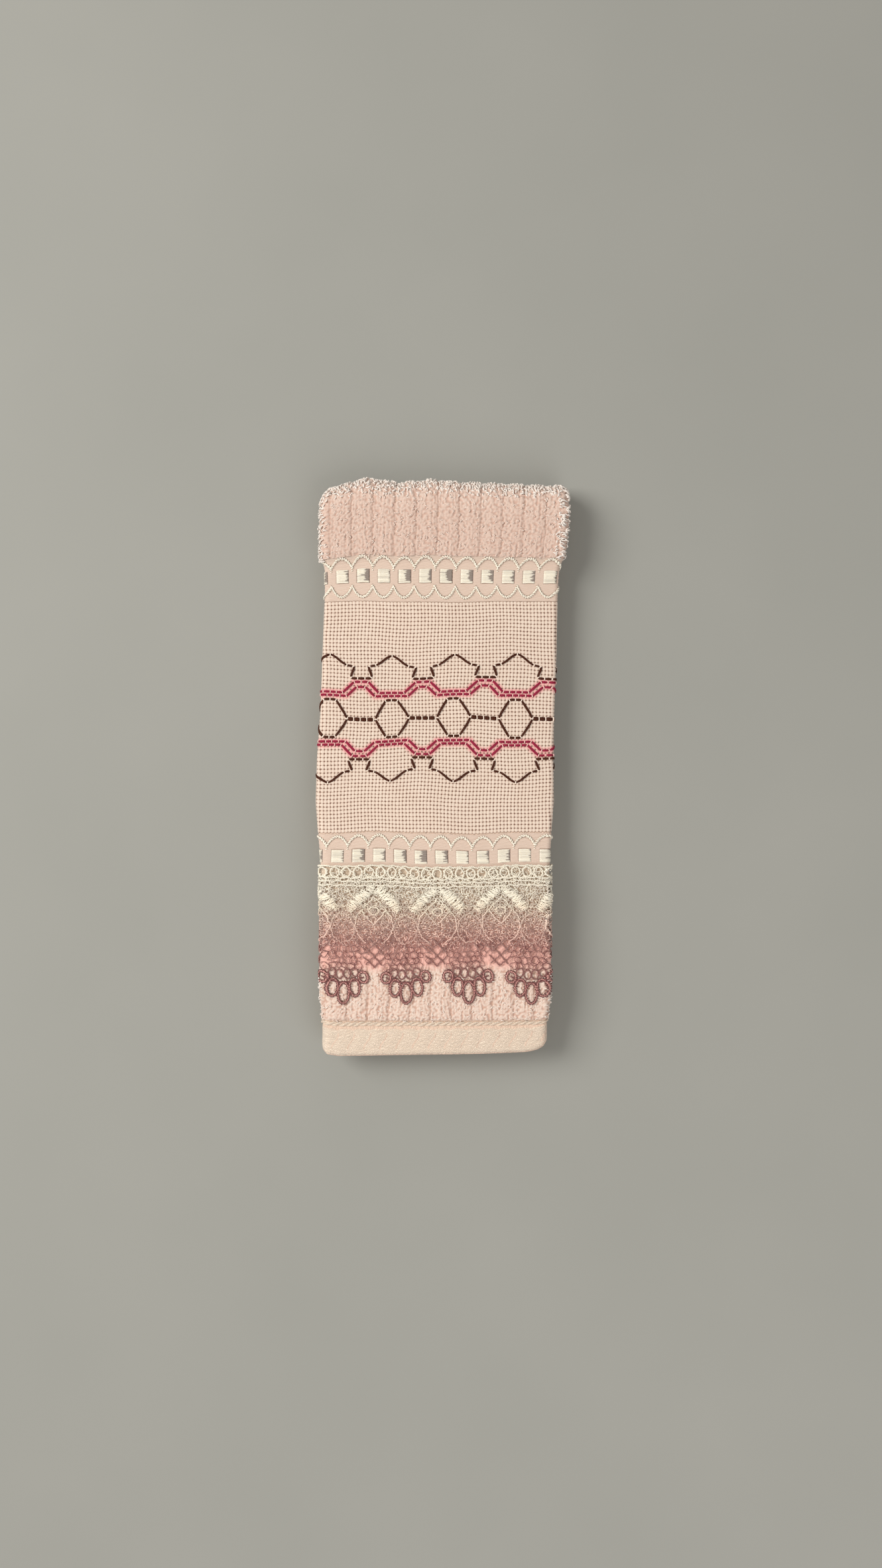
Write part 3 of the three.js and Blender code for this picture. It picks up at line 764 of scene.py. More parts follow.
def terry_loops(name, s_range, t_range, tall, spread=1.0, points=6, rim=1.0, shown=0.25):
    """Arches of yarn on a jittered lattice. Along an arch u runs from 0 to 1: its place along is
    (u - 1/2) times its width, its height goes with sin(pi u), and its lean with sin squared. At the
    folds they stand up taller, by the share rim, and are painted paler there as a highlight. Each arch
    is painted a little darker at its feet as shade and paler at its top as a highlight. Away from them
    a share shown is left."""
    s, t = flat_grid(np.arange(*s_range, LOOP_STEP[0] * spread), np.arange(*t_range, LOOP_STEP[1] * spread))
    s = s + random.uniform(-0.6, 0.6, s.size)
    t = t + random.uniform(-0.6, 0.6, t.size)
    edge = rim * np.maximum(smooth_step(t, 241, 248), smooth_step(np.abs(s + 1), 46.5, 50.5))
    kept = (crevice(s, t) < 0.35) & (random.random(s.size) < shown + (1 - shown) * edge)
    s, t, edge = s[kept], t[kept], edge[kept]
    count = s.size
    turn = random.uniform(0, np.pi, count)
    width = random.uniform(0.7, 1.3, count) * spread
    rise = (tall + rib_height(s)) * random.uniform(0.75, 1.2, count) * (1 + 1.1 * edge)
    lean = random.normal(0, 0.4, (count, 2))
    u = np.linspace(0, 1, points)[None, :]
    arch = np.sin(np.pi * u)
    curl = 0.25 * np.sin(2 * np.pi * u) * random.choice([-1, 1], count)[:, None]
    along = (u - 0.5) * width[:, None] * (1 + 0.6 * arch)
    path = np.stack([
        s[:, None] + along * np.cos(turn)[:, None] - curl * np.sin(turn)[:, None] + lean[:, :1] * arch ** 2,
        t[:, None] + along * np.sin(turn)[:, None] + curl * np.cos(turn)[:, None] + lean[:, 1:] * arch ** 2,
        -0.22 + (rise + 0.12)[:, None] * arch ** 0.6,
    ], axis=-1)
    side = np.stack([-np.sin(turn), np.cos(turn), np.zeros(count)], axis=-1)
    mesh_points, faces = sweep(path, YARN_RADIUS * spread ** 0.5, YARN_SIDES, upright=side)
    # painted light in root: shade at the feet of each arch, a highlight at its top and on the loops of the
    # folds
    root = np.repeat(0.25 - 0.45 * arch - 0.7 * edge[:, None], YARN_SIDES, axis=1).ravel()
    return cloth_piece(name, mesh_points, faces, TERRY_YARN, {"root": root})


TOP_PILE = (UPPER_BAND[1] - 0.3, TURN_START + 0.74 * TURN_LENGTH)
BACK_PILE = (TURN_START + 0.7 * TURN_LENGTH, 486)


def under_trim(t):
    """How much lower the pile is pressed where the lace lies on it, until it ends under the net."""
    return 0.3 * smooth_step(t, 36, 42) + 0.7 * smooth_step(t, 44, 51)


terry_pieces = [
    terry_pile("terry_pile_top", (-58, 55), TOP_PILE),
    terry_pile("terry_pile_low", (-57, 52), (STITCH_TOP + 0.2, 51), under_trim),
    terry_loops("terry_loops_top", (-58, 55), TOP_PILE, 0.4),
    terry_loops("terry_loops_low", (-57, 52), (STITCH_TOP + 0.4, 36), 0.4, rim=0.6),
    terry_loops("terry_loops_left", (-59, -47), BACK_PILE, 0.75, spread=1.15, points=5, rim=0.0, shown=0.35),
    terry_loops("terry_loops_right", (47, 57), BACK_PILE, 0.75, spread=1.15, points=5, rim=0.0, shown=0.35),
]

# %% [markdown]
# The open even weave, made for counting stitches on. Pairs of threads cross pairs of threads and
# leave a small hole at every crossing of the gaps. It is one relief surface whose grid has three
# points to each hole each way, one of them right in the hole: the height is the higher of the warp
# and the weft ridge, which take turns on top as in plain weave. The dark of the holes is painted
# shade in the colour.

# %% Even weave
def even_weave_height(s, t):
    """Warp ridges run along t between hole columns and weft ridges along s between hole rows. Each
    is a rounded sine."""
    u = (s - BAND_PHASE) / HOLE_PITCH_S
    v = (t - PEAK_T) / HOLE_PITCH_T
    warp = np.abs(np.sin(np.pi * u)) ** 0.7
    weft = np.abs(np.sin(np.pi * v)) ** 0.7
    sign = np.where((np.floor(u) + np.floor(v)) % 2 > 0, 1, -1)
    over = 0.5 + 0.5 * np.sin(np.pi * u) * np.sin(np.pi * v) * sign
    ridge = np.maximum(warp * (0.72 + 0.28 * over), weft * (1.0 - 0.28 * over))
    pit = (1 - warp) * (1 - weft)
    return ridge, pit


def even_weave_cotton():
    """Smooth combed cotton in pairs of threads. The offset from the nearest hole is a fraction of the
    pitch, less a half, times the pitch. Its length draws the round dark holes as painted shade, and its
    two parts draw painted shade between neighbouring pairs of threads."""
    material, tree = blank_material("combed_cotton_even_weave")
    place, colour = cotton_colour(tree, "#eeded0", "#e6d2c2", 160.0)
    cloth = cloth_place(tree)
    stray = add(tree, "ShaderNodeTexNoise", {"Vector": cloth, "Scale": 0.9, "Detail": 1.0}).outputs["Color"]
    stray = vector_of(tree, "MULTIPLY", vector_of(tree, "SUBTRACT", stray, (0.5, 0.5, 0.5)), (0.5, 0.5, 0.0))
    pitch = (HOLE_PITCH_S, HOLE_PITCH_T, 1.0)
    offset = vector_of(tree, "SUBTRACT", vector_of(tree, "ADD", cloth, stray), (BAND_PHASE, PEAK_T, 0.0))
    offset = vector_of(tree, "ADD", vector_of(tree, "DIVIDE", offset, pitch), (0.5, 0.5, 0.5))
    offset = vector_of(tree, "SUBTRACT", vector_of(tree, "FRACTION", offset), (0.5, 0.5, 0.5))
    offset = vector_of(tree, "MULTIPLY", offset, (HOLE_PITCH_S, HOLE_PITCH_T, 0.0))
    # painted shade: the holes are darkened for the shadow down in them
    hole = ramp_of(tree, vector_of(tree, "LENGTH", offset), 0.44, 0.24)
    parts = add(tree, "ShaderNodeSeparateXYZ", {0: offset})
    # painted shade in the gaps between neighbouring pairs of threads
    gaps = [ramp_of(tree, sum_of(tree, "ABSOLUTE", parts.outputs[k]), 0.34, 0.06) for k in (0, 1)]
    seam_shade = sum_of(tree, "MULTIPLY", sum_of(tree, "MAXIMUM", *gaps), 0.55)
    tinted = colour_between(tree, attribute_of(tree, "pink"), colour, "#f0a4a6")
    shade = colour_between(tree, hole, colour_between(tree, seam_shade, tinted, "#c09a84"), "#86685a")
    cotton_surface(tree, shade, 0.85, bump_of(tree, noise_of(tree, place, 0.3, 3.0), 0.35, 0.1))
    return material


# %% [markdown]
# The embroidery is pattern darning: the needle runs under pairs of threads of the even weave, and
# the stitches lie on top between two holes. It is charted on the holes. The table lists the
# stitches of a quarter of one repeat, eighteen holes wide. Mirror copies give the rest.

# %% Embroidery chart, in holes across and rows down from a peak
STROKES = [
    ("brown", 0.46, [(0.2, 0.1), (1.45, 0.7), (3.4, 2.1), (4.55, 2.7)]),
    ("brown", 0.46, [(5.0, 2.8), (6.3, 3.0)]),
    ("brown", 0.5, [(6.95, 3.1), (5.9, 5.7)]),
    ("brown", 0.51, [(6.2, 6.1), (7.65, 6.1)]),
    ("brown", 0.51, [(8.2, 6.1), (9.8, 6.1)]),
    ("rose", 0.46, [(7.2, 7.0), (8.6, 7.0)]),
    ("rose", 0.48, [(6.8, 7.1), (3.8, 9.85)]),
    ("rose", 0.46, [(2.0, 9.95), (3.45, 9.95)]),
    ("rose", 0.46, [(0.15, 9.95), (1.6, 9.95)]),
    ("rose", 0.46, [(8.15, 8.3), (9.85, 8.3)]),
    ("rose", 0.48, [(7.6, 8.35), (5.0, 10.7)]),
    ("rose", 0.46, [(3.1, 10.8), (4.5, 10.8)]),
    ("rose", 0.46, [(1.1, 10.8), (2.6, 10.8)]),
    ("rose", 0.46, [(-0.65, 10.8), (0.65, 10.8)]),
    ("brown", 0.51, [(0.2, 11.9), (1.55, 11.95)]),
    ("brown", 0.5, [(1.85, 12.2), (3.1, 13.9), (4.15, 15.4), (4.75, 16.55)]),
]
CENTRE_STROKES = [(5.15, 6.6), (7.05, 8.5), (8.95, 10.4), (10.85, 12.4)]
CENTRE_HALF = 0.84
STITCH_REPEAT = 18
STITCH_REACH = (-54.5, 52.0)


def chart_to_cloth(across, down):
    """Holes across and rows down from the middle peak, to flat millimetres."""
    return BAND_PHASE + HOLE_PITCH_S * across, PEAK_T - HOLE_PITCH_T * down


def mirrored(points):
    """The four mirror copies of a stroke, without the doubles of one that is its own mirror."""
    across = np.array(points)[:, 0]
    down = np.array(points)[:, 1]
    own_mirror = math.isclose(across[0] + across[-1], STITCH_REPEAT) or math.isclose(across[0], -across[-1])
    columns = [across] if own_mirror else [across, -across]
    return [np.stack([c, d], axis=-1) for c in columns for d in (down, 2 * MIRROR_ROW - down)]


def stitches_of(colour):
    """Every stitch of one colour on the front, as flat paths with their half widths."""
    found = []
    for repeat in range(-3, 3):
        for kind, half, points in STROKES:
            if kind == colour:
                found += [(path + [repeat * STITCH_REPEAT, 0], half) for path in mirrored(points)]
        if colour == "brown":
            for a, b in CENTRE_STROKES:
                ends = np.array([(a, MIRROR_ROW), (b, MIRROR_ROW)])
                found.append((ends + [repeat * STITCH_REPEAT, 0], CENTRE_HALF))
    flat = []
    for path, half in found:
        s, t = chart_to_cloth(path[:, 0], path[:, 1])
        if STITCH_REACH[0] < s.mean() < STITCH_REACH[1]:
            flat.append((np.stack([s, t], axis=-1), half))
    return flat


BROWN = stitches_of("brown")
ROSE = stitches_of("rose")
print("stitches", len(BROWN), "brown and", len(ROSE), "rose")

# %% Even weave panel
def on_lattice(origin, step, low, high):
    """The points origin + n times step that lie between low and high."""
    return origin + step * np.arange(math.ceil((low - origin) / step), math.floor((high - origin) / step) + 1)


s_line = on_lattice(BAND_PHASE, HOLE_PITCH_S / 3, *SKIN_REACH)
t_line = on_lattice(PEAK_T, HOLE_PITCH_T / 3, *EVEN_WEAVE)
s_grid, t_grid = np.meshgrid(s_line, t_line)
ridge, pit = even_weave_height(s_grid, t_grid)


def near_rose(s, t):
    """How close the weave is to a rose stitch: 1 up to half a millimetre away, 0 from 2 mm away."""
    middles = np.concatenate([evenly(np.c_[path, path[:, 0] * 0], 1.0)[0][:, :2] for path, _ in ROSE])
    reach = np.full(s.shape, 9.0)
    for s0, t0 in middles:
        reach = np.minimum(reach, np.hypot(s - s0, t - t0))
    return 1 - smooth_step(reach, 0.5, 2.0)


EVEN_WEAVE_COTTON = even_weave_cotton()
even_weave = skin("even_weave_panel", s_grid, t_grid, 0.4 * ridge - 0.2 * pit - 0.26, EVEN_WEAVE_COTTON,
                  {"pink": 0.95 * near_rose(s_grid, t_grid)})


# %% Embroidery floss
STITCH_POINTS = 9
STRAND_HALF = 0.17


def floss(name, colour, deep):
    """Stranded cotton: a soft gloss along its strands and a deeper shade between them."""
    material, tree = blank_material(name)
    noise = noise_of(tree, object_place(tree), 0.5, 3.0)
    finish_of(tree, {"Base Color": colour_between(tree, noise, deep, colour), "Roughness": 0.6,
                     "Specular IOR Level": 0.2, "Normal": bump_of(tree, noise, 0.4, 0.1)})
    return material


def stitch_mesh(name, stitches, material):
    """Each stitch is two or more strands side by side. A strand dips into its holes at the ends and
    lies over the weave between them, with the root of sin(pi u) for its height."""
    strands, widths = [], []
    for path, half in stitches:
        line, _ = evenly(np.concatenate([path, np.zeros((len(path), 1))], axis=1), 0.4)
        run = np.linspace(0, 1, STITCH_POINTS)
        at = np.linspace(0, 1, len(line))
        line = np.stack([np.interp(run, at, line[:, k]) for k in range(3)], axis=-1)
        ahead = unit(np.gradient(line, axis=0))
        across = np.stack([ahead[:, 1], -ahead[:, 0], np.zeros(STITCH_POINTS)], axis=-1)
        count = max(2, round(half / STRAND_HALF))
        for k in range(count):
            aside = (2 * (k + 0.5) / count - 1) * half
            spread = 0.82 + 0.18 * np.sin(np.pi * run)
            raised = -0.12 + 0.42 * np.sin(np.pi * run) ** 0.5 + 0.1 * (1 - (aside / half) ** 2)
            strand = line + across * (aside * spread)[:, None]
            strand[:, 2] = raised
            strands.append(strand)
            widths.append(np.full(STITCH_POINTS, 1.2 * half / count))
    points, faces = sweep(np.stack(strands), np.stack(widths), 5)
    return cloth_piece(name, points, faces, material)


def crossing_threads(name, stitches, material):
    """The pair of weave threads that holds down the ends of the stitches: one short pale bar for each
    end, or for each two ends that meet. It lies across the mean direction of the stitches."""
    ends = []
    for path, half in stitches:
        for end, before in ((path[0], path[1]), (path[-1], path[-2])):
            ahead = (end - before) / np.hypot(*(end - before))
            ends.append((end, ahead, half))
    places = np.array([end for end, _, _ in ends])
    used, bars = set(), []
    for number, (end, ahead, half) in enumerate(ends):
        if number in used:
            continue
        gaps = np.hypot(*(places - end).T)
        gaps[list(used) + [number]] = 9.0
        other = int(np.argmin(gaps))
        centre, along = end + 0.3 * ahead, ahead
        if gaps[other] < 1.2:
            used.add(other)
            centre = (end + ends[other][0]) / 2
            along = ahead - ends[other][1]
            along = along / max(np.hypot(*along), 1e-6)
        side = np.array([-along[1], along[0]])
        f = np.linspace(-1, 1, 6)[:, None]
        bars.append(np.concatenate([centre + side * f * (half + 0.1), 0.3 - 0.22 * f ** 2], axis=1))
    points, faces = sweep(np.stack(bars), 0.24, 5)
    return cloth_piece(name, points, faces, material)


def crossing_cotton(name, light, dark):
    """A pair of threads that stands up in the light, and so looks paler than the weave."""
    material, tree = blank_material(name)
    _, colour = cotton_colour(tree, light, dark, 160.0)
    cotton_surface(tree, colour, 0.8)
    return material


PAIR = crossing_cotton("combed_cotton_pair", "#fdeee0", "#f3dccb")
TINTED_PAIR = crossing_cotton("combed_cotton_pair_tinted", "#fbd3cc", "#f0b8b4")
crossings = [
    crossing_threads("crossings_by_brown", BROWN, PAIR),
    crossing_threads("crossings_by_rose", ROSE, TINTED_PAIR),
]
brown_stitches = stitch_mesh("brown_stitches", BROWN, floss("brown_cotton_floss", "#5c2f1b", "#3a1d12"))
rose_stitches = stitch_mesh("rose_stitches", ROSE, floss("rose_cotton_floss", "#b02e4e", "#821c38"))

# %% [markdown]
# The jacquard bands. On a matt ground of fine weft lines the loom floats shiny cream yarn in square
# windows, with a matt bar between each two, and draws a scallop of white cord above and below. The
# windows are real yarns here, laid side by side. Part of each window drops away, and its greyer
# colour there is a painted dark reflection.

# %% Jacquard finishes
WAVE_PERIOD = 2 * math.pi / 20


def slanted_lines(tree, degrees, pitch, distortion, detail, detail_scale):
    """Woven lines pitch millimetres apart that lean by so many degrees, broken up by noise. The wave
    texture repeats every WAVE_PERIOD divided by its scale."""
    turn = {"Vector": cloth_place(tree), "Rotation": (0, 0, math.radians(degrees))}
    turned = add(tree, "ShaderNodeMapping", turn).outputs[0]
    sockets = {"Vector": turned, "Scale": WAVE_PERIOD / pitch, "Distortion": distortion,
               "Detail": detail, "Detail Scale": detail_scale}
    return add(tree, "ShaderNodeTexWave", sockets, bands_direction="Y").outputs["Fac"]


def band_ground():
    """Weft-faced cotton: a pick every 0.62 mm, drawn as fine lines that slant a little. Painted shade darkens
    the beds under the windows and the ground along the scallop cords.
    """
    material, tree = blank_material("jacquard_ground")
    _, colour = cotton_colour(tree, "#ead7c9", "#e1cbbc", 130.0)
    picks = slanted_lines(tree, 8, 0.62, 1.5, 2.0, 1.5)
    shade = colour_between(tree, sum_of(tree, "MULTIPLY", picks, 0.5), colour, "#c7a590")
    # painted shade in the window beds and beside the scallop cords
    shade = colour_between(tree, attribute_of(tree, "bed_and_cord_shade"), shade, "#7d5f52")
    cotton_surface(tree, shade, 0.8, bump_of(tree, picks, 0.6, -0.15))
    return material


def satin_float():
    """Mercerised cotton floats: smooth parallel yarn with a silky gloss. Where it drops, and in faint streaks
    from pick to pick, it is painted greyer as a dark reflection.
    """
    material, tree = blank_material("mercerised_satin_floats")
    cream = colour_between(tree, noise_of(tree, object_place(tree), 0.6, 2.0), "#fbf0da", "#fffdf4")
    # painted dark reflection: the shade attribute turns the satin greyer
    colour = colour_between(tree, attribute_of(tree, "shade"), cream, "#a3968d")
    finish_of(tree, {"Base Color": colour, "Roughness": 0.33, "Sheen Weight": 0.15,
                     "Specular IOR Level": 0.6})
    return material


def white_cord():
    """The thick white pattern yarn of the scallops, glossy and tightly twisted."""
    material, tree = blank_material("white_pattern_cord")
    colour = colour_between(tree, noise_of(tree, object_place(tree), 0.8, 2.0), "#f0e6d2", "#fffaf0")
    finish_of(tree, {"Base Color": colour, "Roughness": 0.4, "Sheen Weight": 0.15})
    return material


BAND_GROUND = band_ground()
SATIN = satin_float()
WHITE_CORD = white_cord()
WINDOW_CENTRE = 4.87
WINDOW_WIDTH = 5.3
PICK = 0.43
FLOAT_POINTS = 13
FLOAT_SIDES = 4
BAND_GRID = (0.34, 0.3)
BANDS = {
    "upper": {"range": UPPER_BAND, "windows": (205.1, 211.1), "scallops": [(211.8, 216.4), (203.9, 198.6)]},
    "lower": {"range": LOWER_BAND, "windows": (83.8, 89.5), "scallops": [(91.0, 95.4)]},
}


# %% Jacquard bands
def window_phase(s):
    """Place within one window: -1 to 1 across it, beyond that on the bar beside it."""
    offset = (s - BAND_PHASE - WINDOW_CENTRE + BAND_REPEAT / 2) % BAND_REPEAT - BAND_REPEAT / 2
    return offset / (WINDOW_WIDTH / 2)


def swing(s, start, crest):
    """Place along t of a scallop line: start at its cusps, and crest half way between two of them."""
    f = ((s - BAND_PHASE) / BAND_REPEAT) % 1
    return start + (crest - start) * np.sin(np.pi * f) ** 0.75


def band_skin(name, rows):
    """The ground surface: a fine ripple along t, with a shallow bed under each window. Its colour is
    painted dark in the beds and along the scallop cords, as the shade of the floats and the cords."""
    s, t = np.meshgrid(np.arange(*SKIN_REACH, BAND_GRID[0]), np.arange(*rows["range"], BAND_GRID[1]))
    low, high = rows["windows"]
    inside = (np.abs(window_phase(s)) < 1.04) & (t > low) & (t < high)
    height = -0.02 - 0.28 * inside + 0.05 * np.sin(2 * np.pi * t / 1.7)
    bed_and_cord_shade = 1.0 * inside
    for start, crest in rows["scallops"]:
        beside = np.abs(t - swing(s, start, crest) + 0.3 * np.sign(crest - start))
        bed_and_cord_shade = np.maximum(bed_and_cord_shade, 0.6 * (1 - smooth_step(beside, 0.3, 1.1)))
    return skin(name, s, t, height, BAND_GROUND, {"bed_and_cord_shade": bed_and_cord_shade})


def satin_windows(name, rows):
    """Float yarns across each window, one to each pick. From a ragged border on, they drop by a quarter
    of a millimetre and take a painted greyer reflection. Each pick also takes a little of it at random,
    as painted streaks of reflection."""
    first = math.floor((-SIDE_REACH - BAND_PHASE) / BAND_REPEAT)
    centres = BAND_PHASE + WINDOW_CENTRE + BAND_REPEAT * np.arange(first, -first + 1)
    centres = centres[np.abs(centres) < SIDE_REACH - 1.5]
    picks = np.arange(rows["windows"][0] + PICK / 2, rows["windows"][1], PICK)
    u = np.linspace(-1, 1, FLOAT_POINTS)
    border = random.uniform(-0.1, 0.95, (len(centres), 1))
    border = border + random.normal(0, 0.2, (len(centres), len(picks)))
    border = np.where(picks[None, :] < rows["windows"][0] + 1.0, 0.95, border)
    # painted dark reflection: greyer from the ragged border on, and in faint streaks from pick to pick
    shade = smooth_step(u[None, None, :] - border[:, :, None], 0, 0.22)
    shade = np.maximum(shade, np.abs(random.normal(0, 0.16, (len(centres), len(picks), 1))))
    s = centres[:, None, None] + WINDOW_WIDTH / 2 * u + 0 * shade
    t = picks[None, :, None] + 0.05 * np.sin(3 * u + 2 * centres[:, None, None]) + 0 * shade
    height = 0.28 * (1 - u ** 8) - 0.25 * shade - 0.12 + random.normal(0, 0.02, shade.shape)
    paths = np.stack([s, t, height], axis=-1).reshape(-1, len(u), 3)
    points, faces = sweep(paths, 0.25, FLOAT_SIDES)
    values = np.repeat(shade.reshape(-1, len(u)), FLOAT_SIDES, axis=1).ravel()
    return cloth_piece(name, points, faces, SATIN, {"shade": values})


def garland(cusp, dip):
    """One scallop line over the front, as a path. It meets itself in a cusp at each repeat."""
    s = np.arange(-SIDE_REACH, SIDE_REACH - 1, 0.2)
    return np.stack([s, swing(s, cusp, dip), np.full(s.size, 0.24)], axis=-1)


def slanted_grains(line, pitch, length, radius, lean):
    """Short fat stitches along a path, one for each pitch, all leaned to one side of its direction
    by the same angle, as in a rope. A grain bulges in the middle: radius times 0.6 + 0.4 sin(pi u)."""
    path, _ = evenly(line, pitch)
    ahead = unit(np.gradient(path, axis=0))
    side = np.cross(ahead, [0, 0, 1.0])
    angle = lean + random.normal(0, 0.12, (len(path), 1))
    grain = np.cos(angle) * ahead + np.sin(angle) * side
    u = np.linspace(0, 1, 5)
    laid = path[:, None] + grain[:, None] * ((u - 0.5) * length)[:, None]
    laid[:, :, 2] += 0.22 * np.sin(np.pi * u) - 0.08
    return sweep(laid, np.tile(radius * (0.6 + 0.4 * np.sin(np.pi * u)), (len(path), 1)), 5)


def scallop_cords(name, rows):
    """White rope: a garland above the windows with a short tail at each cusp, and on the upper band
    one below them too. Inside each runs a thinner line."""
    parts = []
    for start, crest in rows["scallops"]:
        line = garland(start, crest)
        parts.append(slanted_grains(line, 0.95, 1.45, 0.33, 0.65))
        inner = line + [0, 0.55 if crest < start else -0.55, -0.12]
        parts.append(slanted_grains(inner, 1.5, 1.2, 0.2, -0.3))
    top = rows["scallops"][0][0]
    for k in range(-6, 6):
        s = BAND_PHASE + BAND_REPEAT * k
        if abs(s) < SIDE_REACH - 2:
            tail = np.array([(s, top + 0.5, 0.3), (s, top - 1.3, 0.0)])
            parts.append(slanted_grains(tail, 0.6, 0.9, 0.24, 1.2))
    points, faces = join(parts)
    return cloth_piece(name, points, faces, WHITE_CORD)


band_pieces = []
for band_name, band_rows in BANDS.items():
    band_pieces.append(band_skin(f"{band_name}_band_ground", band_rows))
    band_pieces.append(satin_windows(f"{band_name}_satin_windows", band_rows))
    band_pieces.append(scallop_cords(f"{band_name}_scallop_cords", band_rows))

# %% [markdown]
# The hem is a flat double band, closed at its upper edge with a soft rope-like row of stitches, each
# about three millimetres long. The weave is a fine twill. Its slanting lines are too small to model,
# so they are bump on the cloth's own millimetres, broken up by noise as hand and wash leave them.


# %% Hem
def hem_twill():
    """Cream cotton twill: lines 0.75 mm apart that climb fifteen degrees to the right."""
    material, tree = blank_material("cream_cotton_twill")
    _, colour = cotton_colour(tree, "#f9e9d7", "#f3dfcb", 90.0)
    lines = slanted_lines(tree, -15, 0.75, 9.0, 3.0, 2.4)
    shade = colour_between(tree, sum_of(tree, "MULTIPLY", lines, 0.35), colour, "#cfae95")
    cotton_surface(tree, shade, 0.85, bump_of(tree, lines, 0.8, -0.25))
    return material


HEM_TWILL = hem_twill()


def hem_skin():
    """The flat weave from the open end up to the stitches, rounded over at the end."""
    t_rows = np.concatenate([np.linspace(0.02, 1, 5), np.arange(1.4, STITCH_TOP, 0.45)])
    s, t = np.meshgrid(np.arange(-57, 53, 0.5), t_rows)
    pressed = smooth_step(t, HEM_TOP - 1.2, HEM_TOP + 0.3)
    height = 0.08 * np.sin(s * 0.9 + 1.3 * np.sin(t * 0.5)) * (1 - pressed) - 0.25 * pressed
    height = height - 0.35 * (1 - smooth_step(t, 0, 0.9))
    return skin("hem_twill_face", s, t, height, HEM_TWILL)


def hem_stitches():
    """The rope of stitches: two thick soft strands that take turns on top, a little uneven."""
    s = np.arange(-56.5, 52.3, 0.5)
    t = HEM_TOP + 1.75 + 0.12 * np.sin(s * 0.37) + 0.08 * np.sin(s * 1.3)
    line = np.stack([s, t, 0.02 + 0 * s], axis=-1)
    points, faces = plait(line, 2.3, 6.2, 0.42, sides=6, thread=0.62, tall=0.3)
    return cloth_piece("hem_stitches", points, faces, HEM_TWILL)


hem_pieces = [hem_skin(), hem_stitches()]

# %% [markdown]
# The lace trim. Machine lace is drawn in cord on a fine net. From the top there are a rope, a row of
# rings, three cords, pairs of satin leaves that meet in points, then open fans of curls and rings
# with lozenge mesh between them, and a scalloped edge: four small loops, and under them three long
# ones between two round ones. The colour runs from ivory at the top to dusty rose, with mauve cord
# along the scallops. One repeat is described about the middle of a scallop, and every repeat is laid
# along the whole width of the cloth. A part of the lace is kept as a pair: its mesh, and how much of
# the dark mauve its threads take.

# %% Sizes of the lace, in millimetres
SCALLOP_PITCH = 27.1
SCALLOP_PHASE = 14.0
LACE_SHADES = [(20, "#c98f88"), (34, "#e3a79f"), (43, "#f9c6bb"), (52, "#fdd8ca"), (59, "#ffe6d6"),
               (64, "#fff2de"), (70, "#fff8e8")]
# The dyed mauve of the cords, also used as painted shade on deeper threads and the outer strands of the edge
# loops.
LACE_SHADOW = "#6f3031"
# Loops: across from the middle of the scallop, place along t, half width, half height, tilt in degrees
LOOPS = [(0.0, 28.1, 2.4, 4.5, 0), (-4.75, 30.5, 2.2, 3.7, -6), (4.75, 30.5, 2.2, 3.7, 6),
         (-8.6, 34.9, 2.0, 2.3, -12), (8.6, 34.9, 2.0, 2.3, 12)]
SMALL_LOOPS = [(-4.9, 37.0, 1.45, 1.9, -10), (-1.65, 36.2, 1.5, 2.0, 0), (1.65, 36.2, 1.5, 2.0, 0),
               (4.9, 37.0, 1.45, 1.9, 10)]
FAN_CENTRE = 55.6
FAN_EDGE = 20.6
FAN_ROW = 1.3
FAN_REACH = 13.2
FAN_ROOF = 9.0
DISC = 4.7
FAN_SPOKES = [-46, -23, 0, 23, 46]
EYE_DIAMOND = [(0.0, 69.2), (2.6, 66.6), (5.2, 63.6), (2.7, 60.4), (0.0, 57.6)]
PETAL = [(5.2, 63.6), (7.6, 60.6), (8.2, 56.4), (6.6, 52.4), (3.4, 49.6)]
LOZENGES = [(3.6, 40.4, -3.95, 48.0), (3.9, 45.4, -2.35, 51.6), (0.2, 39.4, -4.6, 43.8)]
OPENINGS = [(0.0, 46.8, 3.4), (2.6, 44.1, 2.5), (0.0, 41.6, 2.7), (2.85, 39.5, 2.2), (5.2, 41.6, 2.0)]
RING_PITCH = 4.87
LACE_LIFT = LACE_GAP + 0.45
CURL_POINTS = 6
RING_POINTS = 10
THREAD_SIDES = 3
OVAL_POINTS = 32
FINE_STEP, COARSE_STEP = 0.36, 0.9
FINE_CELL, COARSE_CELL = 1.25, 3.0


